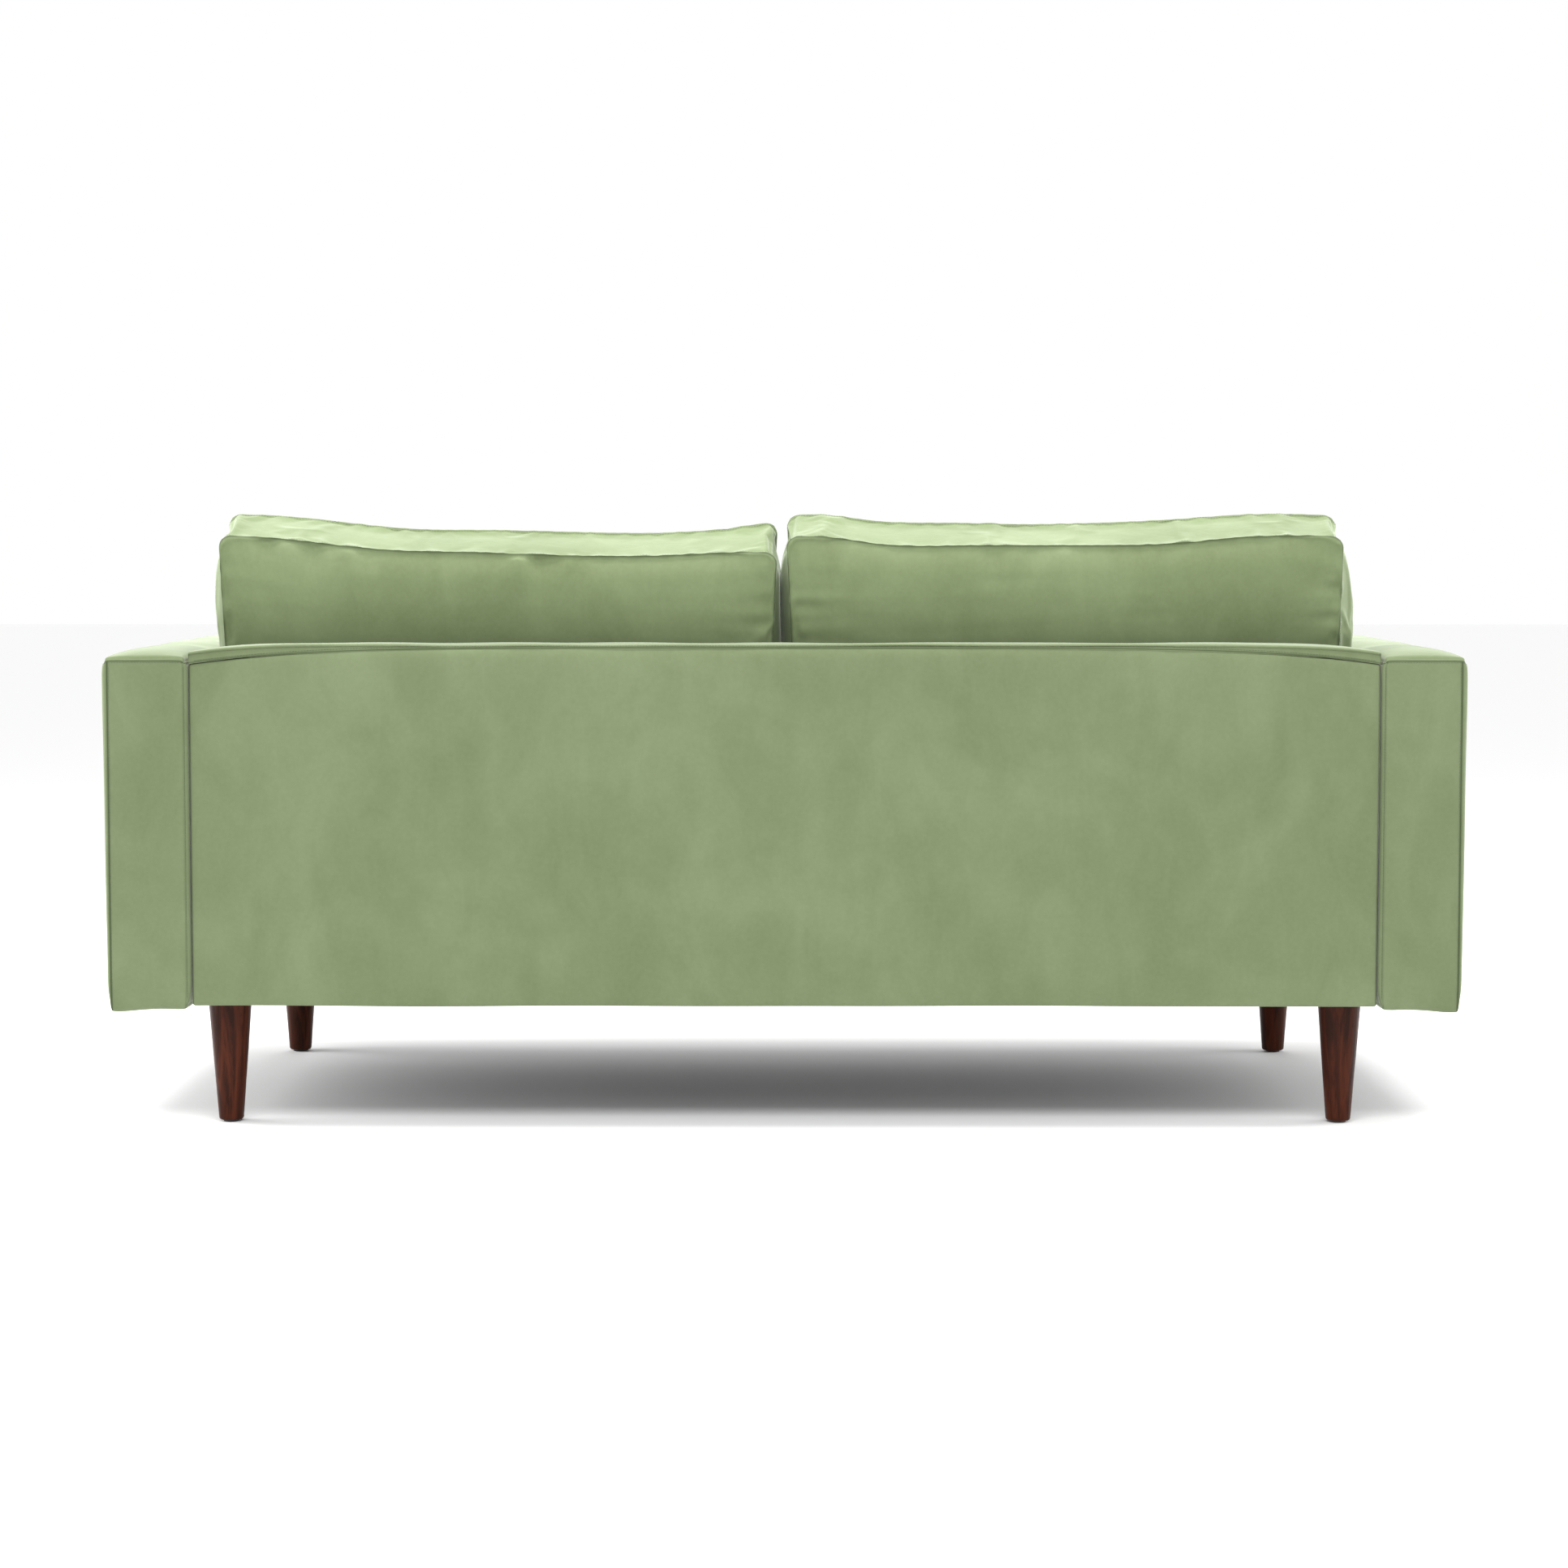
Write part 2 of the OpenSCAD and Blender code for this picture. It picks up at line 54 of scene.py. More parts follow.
LEGS = ("leg_front_left", "leg_front_right", "leg_rear_left", "leg_rear_right")


def low(node):
    """The lowest corner of a frame node's box."""
    return np.array(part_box(node)[0])


def high(node):
    """The highest corner of a frame node's box."""
    return np.array(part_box(node)[1])


# ---------------------------------------------------------------- driving sizes, from the frame

ARM_LOW, ARM_HIGH = low("arm_cover_left"), high("arm_cover_left")
ARM_INNER_X = ARM_LOW[0]
ARM_SEAM_Z = ARM_HIGH[2] - 19 * MM
REAR_Y = high("outer_back_panel")[1]
PANEL_LOW_Z = low("outer_back_panel")[2]
DECK_Z = high("seat_deck")[2]
SEAT_TOP_Z = high("seat_cover_left")[2]
CUSHION_OUTER_X = ARM_INNER_X - 1.6 * MM
BACK_HALF = ARM_INNER_X - 0.8 * MM
# the back cushions lean about the front edge of the back's top
RECLINE = radians(12)
LEAN_Y = ARM_HIGH[1] - 95 * MM
LEAN_Z = high("back_top_rail")[2] + 16 * MM


# ---------------------------------------------------------------- camera, light and floor

CAMERA_PLACE = (-0.0251, 5.2896, 0.8549)
CAMERA_PITCH, CAMERA_YAW = radians(4.105), radians(0.296)
LENS_MM, SENSOR_MM = 77.16, 36
FLOOR_WHITE = 0.95
# name, place, what it is aimed at, size, watts
SOFTBOXES = (
    ("overhead", (0, 0.25, 2.9), (0, 0.25, 0.5), (3.8, 1.4), 84),
    ("rear_above", (0, 3.0, 3.4), (0, 0.2, 0.6), (3.6, 1.2), 95),
    ("left_side", (3.4, -0.3, 1.5), (0, 0, 0.5), (1.8, 1.6), 75),
    ("right_side", (-3.4, -0.3, 1.5), (0, 0, 0.5), (1.8, 1.6), 40),
    ("front_fill", (0, -4.2, 2.4), (0, 0, 0.5), (3.4, 1.8), 30),
)


def set_camera():
    """A long lens at standing height, level with the back cushions and a touch to one side."""
    pitch, yaw = CAMERA_PITCH, CAMERA_YAW
    camera = bpy.data.cameras.new("camera")
    camera.sensor_width = SENSOR_MM
    camera.lens = LENS_MM
    camera.clip_end = 60
    holder = bpy.data.objects.new("camera", camera)
    holder.location = CAMERA_PLACE
    aim = Vector((sin(yaw) * cos(pitch), -cos(yaw) * cos(pitch), -sin(pitch)))
    holder.rotation_euler = aim.to_track_quat("-Z", "Y").to_euler()
    bpy.context.scene.collection.objects.link(holder)
    bpy.context.scene.camera = holder


def add_softbox(name, place, aim_at, size, power):
    """An area light that faces the point it is aimed at."""
    light = bpy.data.lights.new(name, "AREA")
    light.shape = "RECTANGLE"
    light.size, light.size_y = size
    light.energy = power
    holder = bpy.data.objects.new(name, light)
    holder.location = place
    holder.rotation_euler = (Vector(aim_at) - Vector(place)).to_track_quat("-Z", "Y").to_euler()
    bpy.context.scene.collection.objects.link(holder)


def set_lights():
    """Five soft boxes and an even white studio around them."""
    for name, at, aim_at, size, power in SOFTBOXES:
        add_softbox(name, at, aim_at, size, power)
    world = bpy.data.worlds.new("studio")
    world.use_nodes = True
    sky = world.node_tree.nodes["Background"]
    sky.inputs["Color"].default_value = (1, 1, 1, 1)
    sky.inputs["Strength"].default_value = 1.0
    bpy.context.scene.world = world
    bpy.context.scene.view_settings.view_transform = "Standard"


def add_floor():
    """A wide matt white floor, outside the part."""
    bpy.ops.mesh.primitive_plane_add(size=60, location=(0, 0, 0))
    floor = bpy.context.object
    floor.name = "floor"
    paint = bpy.data.materials.new("floor_paint")
    paint.use_nodes = True
    surface = paint.node_tree.nodes["Principled BSDF"]
    surface.inputs["Base Color"].default_value = tone(*[FLOOR_WHITE] * 3)
    surface.inputs["Roughness"].default_value = 0.9
    floor.data.materials.append(paint)


# ---------------------------------------------------------------- shader node helpers

def feed(tree, socket, value):
    """Sets a socket to a value, or links another socket to it."""
    if isinstance(value, bpy.types.NodeSocket):
        tree.links.new(value, socket)
    else:
        socket.default_value = value


def place(tree, kind, settings=None, **values):
    """A shader node with its settings, and its sockets set to values or linked to other sockets."""
    made = tree.nodes.new(kind)
    for key, value in (settings or {}).items():
        setattr(made, key, value)
    for key, value in values.items():
        feed(tree, made.inputs[key.replace("_", " ")], value)
    return made


def mix(tree, factor, a, b, blend="MIX"):
    """Mixes two sockets or values."""
    made = tree.nodes.new("ShaderNodeMix")
    made.data_type = "RGBA"
    made.blend_type = blend
    for index, value in ((0, factor), (6, a), (7, b)):
        feed(tree, made.inputs[index], value)
    return made.outputs[2]


def maths(tree, operation, a, b=0.0, clamp=False):
    """One arithmetic step."""
    made = tree.nodes.new("ShaderNodeMath")
    made.operation = operation
    made.use_clamp = clamp
    for index, value in ((0, a), (1, b)):
        feed(tree, made.inputs[index], value)
    return made.outputs[0]


def ramp(tree, value, start, end):
    """A smooth rise from nothing at one value to one at another."""
    made = place(tree, "ShaderNodeMapRange", {"interpolation_type": "SMOOTHSTEP"}, Value=value)
    made.inputs["From Min"].default_value = start
    made.inputs["From Max"].default_value = end
    return made.outputs["Result"]


def noise(tree, where, scale, detail=2.0, rough=0.5, warp=0.0):
    """A noise texture."""
    return place(tree, "ShaderNodeTexNoise", Vector=where, Scale=scale, Detail=detail,
                 Roughness=rough, Distortion=warp).outputs["Fac"]


def stretched(tree, scale, place_at=(0, 0, 0)):
    """Object coordinates, squeezed along each axis."""
    where = tree.nodes.new("ShaderNodeTexCoord").outputs["Object"]
    return place(tree, "ShaderNodeMapping", Vector=where, Scale=scale,
                 Location=place_at).outputs["Vector"]


def new_group(name, inputs, outputs):
    """An empty node group with named sockets, and the nodes that stand for them inside."""
    group = bpy.data.node_groups.new(name, "ShaderNodeTree")
    kinds = {"colour": "NodeSocketColor", "value": "NodeSocketFloat", "vector": "NodeSocketVector"}
    for label, kind, start in inputs:
        socket = group.interface.new_socket(label, in_out="INPUT", socket_type=kinds[kind])
        socket.default_value = start
    for label, kind in outputs:
        group.interface.new_socket(label, in_out="OUTPUT", socket_type=kinds[kind])
    return group, group.nodes.new("NodeGroupInput"), group.nodes.new("NodeGroupOutput")


def use_group(tree, group, **values):
    """A group placed in a tree with its inputs set."""
    made = tree.nodes.new("ShaderNodeGroup")
    made.node_tree = group
    for key, value in values.items():
        made.inputs[key.replace("_", " ")].default_value = value
    return made


# ---------------------------------------------------------------- shader node groups

def build_velvet_nap():
    """Pile that lies in different ways: broad stroked patches, short streaks and fine fibre, with
    painted shade down the seams.
    """
    group, given, out = new_group(
        "velvet_nap",
        [("Pile Light", "colour", (1, 1, 1, 1)), ("Pile Dark", "colour", (0, 0, 0, 1)),
         ("Seam Shade", "colour", (0, 0, 0, 1)), ("Stroke", "value", 1.0), ("Lift", "value", 1.0)],
        [("Color", "colour"), ("Roughness", "value"), ("Normal", "vector")])
    even = stretched(group, (1, 1, 1))
    upright = stretched(group, (1, 1, 0.45))
    hand = ramp(group, noise(group, even, 5.0, 3.0, 0.55, 0.6), 0.35, 0.68)
    stroke = ramp(group, noise(group, upright, 17.0, 4.0, 0.6, 0.9), 0.3, 0.72)
    fibre = noise(group, even, 620.0, 2.0, 0.7)
    speck = ramp(group, noise(group, even, 150.0, 2.0, 0.6), 0.25, 0.8)
    lie = maths(group, "ADD", maths(group, "MULTIPLY", hand, 0.5),
                maths(group, "MULTIPLY", stroke, 0.28))
    lie = maths(group, "ADD", lie, maths(group, "MULTIPLY", speck, 0.22))
    lie = maths(group, "MULTIPLY", lie, given.outputs["Stroke"], clamp=True)
    pile = mix(group, lie, given.outputs["Pile Dark"], given.outputs["Pile Light"])
    # painted shade: the pile colour turns toward Seam Shade where the seam attribute is high
    seam = place(group, "ShaderNodeAttribute", {"attribute_name": "seam"}).outputs["Fac"]
    group.links.new(mix(group, seam, pile, given.outputs["Seam Shade"]), out.inputs["Color"])
    group.links.new(maths(group, "SUBTRACT", 0.92, maths(group, "MULTIPLY", lie, 0.14)),
                    out.inputs["Roughness"])
    height = maths(group, "ADD", maths(group, "MULTIPLY", fibre, 0.5),
                   maths(group, "MULTIPLY", stroke, 0.9))
    bump = place(group, "ShaderNodeBump", Height=height, Strength=given.outputs["Lift"],
                 Distance=0.0007)
    group.links.new(bump.outputs["Normal"], out.inputs["Normal"])
    return group


def build_wood_grain():
    """Long grain along Z, with pores, growth bands and lacquer that has pooled unevenly."""
    group, given, out = new_group(
        "wood_grain",
        [("Early Wood", "colour", (1, 1, 1, 1)), ("Late Wood", "colour", (0, 0, 0, 1)),
         ("Grain Scale", "value", 1.0), ("Gloss", "value", 0.3)],
        [("Color", "colour"), ("Roughness", "value"), ("Normal", "vector")])
    where = group.nodes.new("ShaderNodeTexCoord").outputs["Object"]
    along = place(group, "ShaderNodeVectorMath", {"operation": "MULTIPLY"})
    group.links.new(where, along.inputs[0])
    along.inputs[1].default_value = (1, 1, 0.07)
    scaled = place(group, "ShaderNodeVectorMath", {"operation": "SCALE"})
    group.links.new(along.outputs[0], scaled.inputs[0])
    group.links.new(given.outputs["Grain Scale"], scaled.inputs["Scale"])
    grain = scaled.outputs[0]
    bands = ramp(group, noise(group, grain, 60.0, 5.0, 0.62, 1.4), 0.34, 0.66)
    pores = ramp(group, noise(group, grain, 420.0, 3.0, 0.7), 0.56, 0.68)
    clouds = noise(group, where, 16.0, 2.0)
    colour = mix(group, bands, given.outputs["Late Wood"], given.outputs["Early Wood"])
    colour = mix(group, maths(group, "MULTIPLY", pores, 0.55), colour, given.outputs["Late Wood"])
    colour = mix(group, maths(group, "MULTIPLY", clouds, 0.35), colour, given.outputs["Late Wood"])
    group.links.new(colour, out.inputs["Color"])
    group.links.new(maths(group, "ADD", given.outputs["Gloss"],
                          maths(group, "MULTIPLY", pores, 0.12)), out.inputs["Roughness"])
    height = maths(group, "SUBTRACT", maths(group, "MULTIPLY", bands, 0.25), pores)
    bump = place(group, "ShaderNodeBump", Height=height, Strength=0.35, Distance=0.0002)
    group.links.new(bump.outputs["Normal"], out.inputs["Normal"])
    return group


def build_fine_weave():
    """Crossed threads for tape, webbing and the black cloth under the seat."""
    group, given, out = new_group(
        "fine_weave",
        [("Thread", "colour", (1, 1, 1, 1)), ("Gap", "colour", (0, 0, 0, 1)),
         ("Threads", "value", 800.0)],
        [("Color", "colour"), ("Normal", "vector")])
    where = group.nodes.new("ShaderNodeTexCoord").outputs["Object"]
    picks = []
    for direction in ("X", "Y"):
        wave = place(group, "ShaderNodeTexWave", {"bands_direction": direction},
                     Vector=where, Distortion=0.6)
        group.links.new(given.outputs["Threads"], wave.inputs["Scale"])
        picks.append(wave.outputs["Fac"])
    cloth = maths(group, "MULTIPLY", picks[0], picks[1])
    group.links.new(mix(group, cloth, given.outputs["Gap"], given.outputs["Thread"]),
                    out.inputs["Color"])
    bump = place(group, "ShaderNodeBump", Height=cloth, Strength=0.6, Distance=0.0003)
    group.links.new(bump.outputs["Normal"], out.inputs["Normal"])
    return group


def build_worn_metal():
    """Plated steel with faint rolling marks and smudges."""
    group, given, out = new_group(
        "worn_metal", [("Metal", "colour", (1, 1, 1, 1)), ("Smudge", "colour", (0, 0, 0, 1))],
        [("Color", "colour"), ("Roughness", "value"), ("Normal", "vector")])
    marks = noise(group, stretched(group, (1, 1, 14)), 240.0, 3.0, 0.7)
    smudges = ramp(group, noise(group, stretched(group, (1, 1, 1)), 45.0, 3.0), 0.4, 0.75)
    group.links.new(mix(group, maths(group, "MULTIPLY", smudges, 0.4), given.outputs["Metal"],
                        given.outputs["Smudge"]), out.inputs["Color"])
    group.links.new(maths(group, "ADD", 0.24, maths(group, "MULTIPLY", marks, 0.22)),
                    out.inputs["Roughness"])
    bump = place(group, "ShaderNodeBump", Height=marks, Strength=0.25, Distance=0.0001)
    group.links.new(bump.outputs["Normal"], out.inputs["Normal"])
    return group


# ---------------------------------------------------------------- materials

def new_material(name, group, sockets, settings, **fixed):
    """A Principled material fed by a node group. fixed are values set on the shader itself."""
    made = bpy.data.materials.new(name)
    made.use_nodes = True
    tree = made.node_tree
    surface = tree.nodes["Principled BSDF"]
    source = use_group(tree, group, **settings)
    for socket in sockets:
        tree.links.new(source.outputs[socket], surface.inputs["Base Color" if socket == "Color"
                                                               else socket])
    for key, value in fixed.items():
        surface.inputs[key.replace("_", " ")].default_value = value
    return made


def tone(red, green, blue):
    """A linear colour with full cover."""
    return (red, green, blue, 1)


# slot: name of the material, colour of the pile on the light and on the dark lie
VELVETS = {
    "velvet": ("velvet", (0.166, 0.206, 0.112), (0.127, 0.159, 0.081)),
    # painted light: the cushions' copy of the velvet is painted about a fifth lighter to offset the
    # shade they sit in
    "velvet_cushion_lit": ("velvet_cushion_lit", (0.202, 0.252, 0.134), (0.150, 0.190, 0.094)),
}
VELVET_FINISH = {"Sheen_Weight": 0.6, "Sheen_Roughness": 0.34,
                 "Sheen_Tint": tone(0.93, 1.0, 0.84), "Specular_IOR_Level": 0.08}
# painted shade for the seam grooves and the topstitch lines
SEAM_SHADE = tone(0.035, 0.048, 0.022)
# slot: name, early wood, late wood, scale of the grain, gloss, other settings
WOODS = {
    "walnut": ("walnut_lacquer", (0.078, 0.018, 0.007), (0.022, 0.006, 0.003), 1.0, 0.30,
               {"Specular_IOR_Level": 0.08}),
    "timber": ("sawn_timber", (0.62, 0.43, 0.24), (0.40, 0.24, 0.12), 0.6, 0.62, {}),
    "hardboard": ("hardboard", (0.26, 0.16, 0.09), (0.17, 0.10, 0.055), 1.6, 0.6, {}),
}
# slot: name, bright metal or plastic, smudges on it, other settings
SMOOTH = {
    "steel": ("plated_steel", (0.62, 0.62, 0.63), (0.30, 0.29, 0.28), {"Metallic": 1.0}),
    "glide": ("glide_plastic", (0.03, 0.03, 0.03), (0.015, 0.015, 0.015), {}),
}
# slot: name, thread, gap between threads, threads a metre, roughness
CLOTHS = {
    "dust_cloth": ("black_dust_cloth", (0.022, 0.022, 0.022), (0.004, 0.004, 0.004), 260.0, 0.95),
    "webbing": ("elastic_webbing", (0.05, 0.05, 0.05), (0.01, 0.01, 0.01), 300.0, 0.8),
    "zip_tape": ("zip_tape", (0.22, 0.28, 0.15), (0.10, 0.13, 0.07), 900.0, 0.8),
    "foam": ("foam", (0.83, 0.77, 0.58), (0.66, 0.58, 0.40), 420.0, 0.95),
    "thread": ("sewing_thread", (0.10, 0.135, 0.065), (0.06, 0.08, 0.04), 1500.0, 0.6),
}


def build_materials():
    """Every material of the piece, by slot."""
    nap, grain = build_velvet_nap(), build_wood_grain()
    weave, metal = build_fine_weave(), build_worn_metal()
    full = ("Color", "Roughness", "Normal")
    made = {}
    for slot, (name, light, dark) in VELVETS.items():
        made[slot] = new_material(
            name, nap, full,
            {"Pile_Light": tone(*light), "Pile_Dark": tone(*dark), "Seam_Shade": SEAM_SHADE,
             "Stroke": 1.0, "Lift": 0.30}, **VELVET_FINISH)
    for slot, (name, early, late, scale, gloss, more) in WOODS.items():
        made[slot] = new_material(
            name, grain, full,
            {"Early_Wood": tone(*early), "Late_Wood": tone(*late),
             "Grain_Scale": scale, "Gloss": gloss}, **more)
    for slot, (name, bright, smudge, more) in SMOOTH.items():
        made[slot] = new_material(
            name, metal, full, {"Metal": tone(*bright), "Smudge": tone(*smudge)}, **more)
    for slot, (name, thread, gap, threads, roughness) in CLOTHS.items():
        made[slot] = new_material(
            name, weave, ("Color", "Normal"),
            {"Thread": tone(*thread), "Gap": tone(*gap), "Threads": threads},
            Roughness=roughness)
    return made


# ---------------------------------------------------------------- mesh helpers

def deselect():
    """Leaves nothing selected."""
    bpy.ops.object.select_all(action="DESELECT")


def activate(piece):
    """Makes a piece the only selected object and the active one."""
    deselect()
    piece.select_set(True)
    bpy.context.view_layer.objects.active = piece


def corners(piece):
    """The places of a piece's points, one row each."""
    found = np.empty(len(piece.data.vertices) * 3, np.float64)
    piece.data.vertices.foreach_get("co", found)
    return found.reshape(-1, 3)


def move_corners(piece, places):
    """Sets the places of a piece's points."""
    piece.data.vertices.foreach_set("co", np.ascontiguousarray(places, np.float32).ravel())
    piece.data.update()


def facing(piece):
    """The way out of the surface at each point."""
    found = np.empty(len(piece.data.vertices) * 3, np.float32)
    piece.data.vertex_normals.foreach_get("vector", found)
    return found.reshape(-1, 3).astype(float)


def rows(start, end, pitch, near=()):
    """Places of the cuts from start to end: close rows near both ends and even ones between."""
    near = np.array(near) * MM
    margin = near.max() if len(near) else 0.0
    count = max(2, round((end - start - 2 * margin) / pitch) + 1)
    middle = np.linspace(start + margin, end - margin, count)
    return np.unique(np.concatenate([[start, end], start + near, end - near, middle]).round(6))


def cut_block(name, places):
    """A cube, loop-cut along each axis in edit mode, with its cuts then set at the given places."""
    deselect()
    bpy.ops.mesh.primitive_cube_add(size=1)
    block = bpy.context.object
    block.name = block.data.name = name
    bpy.ops.object.mode_set(mode="EDIT")
    for axis, cuts in enumerate(places):
        bpy.ops.mesh.select_all(action="DESELECT")
        mesh = bmesh.from_edit_mesh(block.data)
        for edge in mesh.edges:
            a, b = (v.co[axis] for v in edge.verts)
            edge.select_set(abs(a - b) > 0.9)
        bmesh.update_edit_mesh(block.data)
        bpy.ops.mesh.subdivide(number_cuts=len(cuts) - 2, quadcorner="INNERVERT")
    bpy.ops.object.mode_set(mode="OBJECT")
    co = corners(block)
    for axis, cuts in enumerate(places):
        co[:, axis] = np.interp(co[:, axis] + 0.5, np.linspace(0, 1, len(cuts)), cuts)
    move_corners(block, co)
    return block


def rounded(co, lo, hi, radius):
    """Points of a box moved onto its rounded edges, with the way out of the surface at each."""
    lo, hi = np.array(lo), np.array(hi)
    core = np.clip(co, lo + radius, hi - radius)
    away = co - core
    away /= np.maximum(np.linalg.norm(away, axis=1, keepdims=True), 1e-9)
    return core + away * radius, away


def swell(points, size, seed, waves=18):
    """A smooth uneven field, mostly between -1 and 1, with hollows about size metres across."""
    draw = np.random.default_rng(seed)
    way = draw.normal(size=(waves, 3))
    way /= np.linalg.norm(way, axis=1, keepdims=True)
    way *= (pi / (size * draw.uniform(0.7, 1.6, waves)))[:, None]
    return np.sin(points @ way.T + draw.uniform(0, 2 * pi, waves)).sum(1) / (waves / 2) ** 0.5 / 1.6


def ridge(distance, width):
    """One on a line and nothing away from it."""
    return np.exp(-(distance / width) ** 2)


def mark_seam(piece, strength):
    """Stores how deep in a seam each point is, for the material, which paints shade into the seams
    by it.
    """
    held = piece.data.attributes.new("seam", "FLOAT", "POINT")
    held.data.foreach_set("value", np.clip(strength, 0, 1).astype(np.float32))


def subdivide(piece, levels=1):
    """Smooths a piece by splitting its faces."""
    activate(piece)
    step = piece.modifiers.new("smooth", "SUBSURF")
    step.levels = step.render_levels = levels
    bpy.ops.object.modifier_apply(modifier=step.name)


def finish_piece(piece, material, body, stands_for=()):
    """Gives a piece its material and its body, and hides the frame nodes it stands for."""
    piece.data.materials.clear()
    piece.data.materials.append(MATERIALS[material])
    activate(piece)
    bpy.ops.object.shade_smooth()
    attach(piece, body)
    if stands_for:
        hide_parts(*stands_for)
    return piece


def new_object(name, points, faces):
    """A linked object made of points and faces."""
    mesh = bpy.data.meshes.new(name)
    mesh.from_pydata(points.tolist(), [], faces)
    made = bpy.data.objects.new(name, mesh)
    bpy.context.scene.collection.objects.link(made)
    return made


def mirrored_copy(piece, name):
    """The same piece on the other side, with its own mesh and its faces turned back outwards."""
    other = piece.copy()
    other.data = piece.data.copy()
    other.name = other.data.name = name
    bpy.context.scene.collection.objects.link(other)
    co = corners(other)
    co[:, 0] *= -1
    move_corners(other, co)
    other.data.flip_normals()
    return other


# ---------------------------------------------------------------- stitches

STITCH_PITCH, STITCH_LENGTH, STITCH_WIDTH = 4.2 * MM, 3.2 * MM, 0.9 * MM


def lay_stitches(name, host, routes):
    """Rows of thread, each stitch a flattened bead half sunk in the host's surface."""
    deselect()
    bpy.ops.mesh.primitive_uv_sphere_add(segments=6, ring_count=4, radius=0.5)
    bead = bpy.context.object
    bead.data.transform(bead.matrix_world)
    shape = corners(bead) * (STITCH_WIDTH, STITCH_WIDTH * 0.8, STITCH_LENGTH)
    faces = [list(p.vertices) for p in bead.data.polygons]
    bpy.data.objects.remove(bead)
    surface = BVHTree.FromObject(host, bpy.context.evaluated_depsgraph_get())
    points, loops = [], []
    for route in routes:
        route = np.array(route, float)
        travelled = np.concatenate([[0], np.cumsum(np.linalg.norm(np.diff(route, axis=0), axis=1))])
        stops = np.arange(STITCH_PITCH, travelled[-1] - STITCH_PITCH, STITCH_PITCH)
        line = np.stack([np.interp(stops, travelled, route[:, k]) for k in range(3)], 1)
        landed = [surface.find_nearest(p) for p in line]
        line = np.array([hit[0] for hit in landed])
        up = np.array([hit[1] for hit in landed])
        ahead = np.gradient(line, axis=0)
        ahead -= (ahead * up).sum(1, keepdims=True) * up
        ahead /= np.linalg.norm(ahead, axis=1, keepdims=True)
        across = np.cross(up, ahead)
        for at, x, y, z in zip(line, across, up, ahead):
            start = len(points) * len(shape)
            points.append(at + y * STITCH_WIDTH * 0.1 + shape @ np.array([x, y, z]))
            loops.extend([[start + i for i in face] for face in faces])
    return new_object(name, np.concatenate(points), loops)


# ---------------------------------------------------------------- arms

ARM_EDGE = 8 * MM
ARM_SEAM_IN = 9.4 * MM
ARM_TOPSTITCH_IN = 5.5 * MM
ARM_FLANGE = 22 * MM
ARM_CROWN = 12 * MM
EDGE_ROWS = (1.2, 2.4, 3.6, 4.8, 5.5, 6.2, 7.4, 8.6, 9.4, 10.2, 11.2, 14)


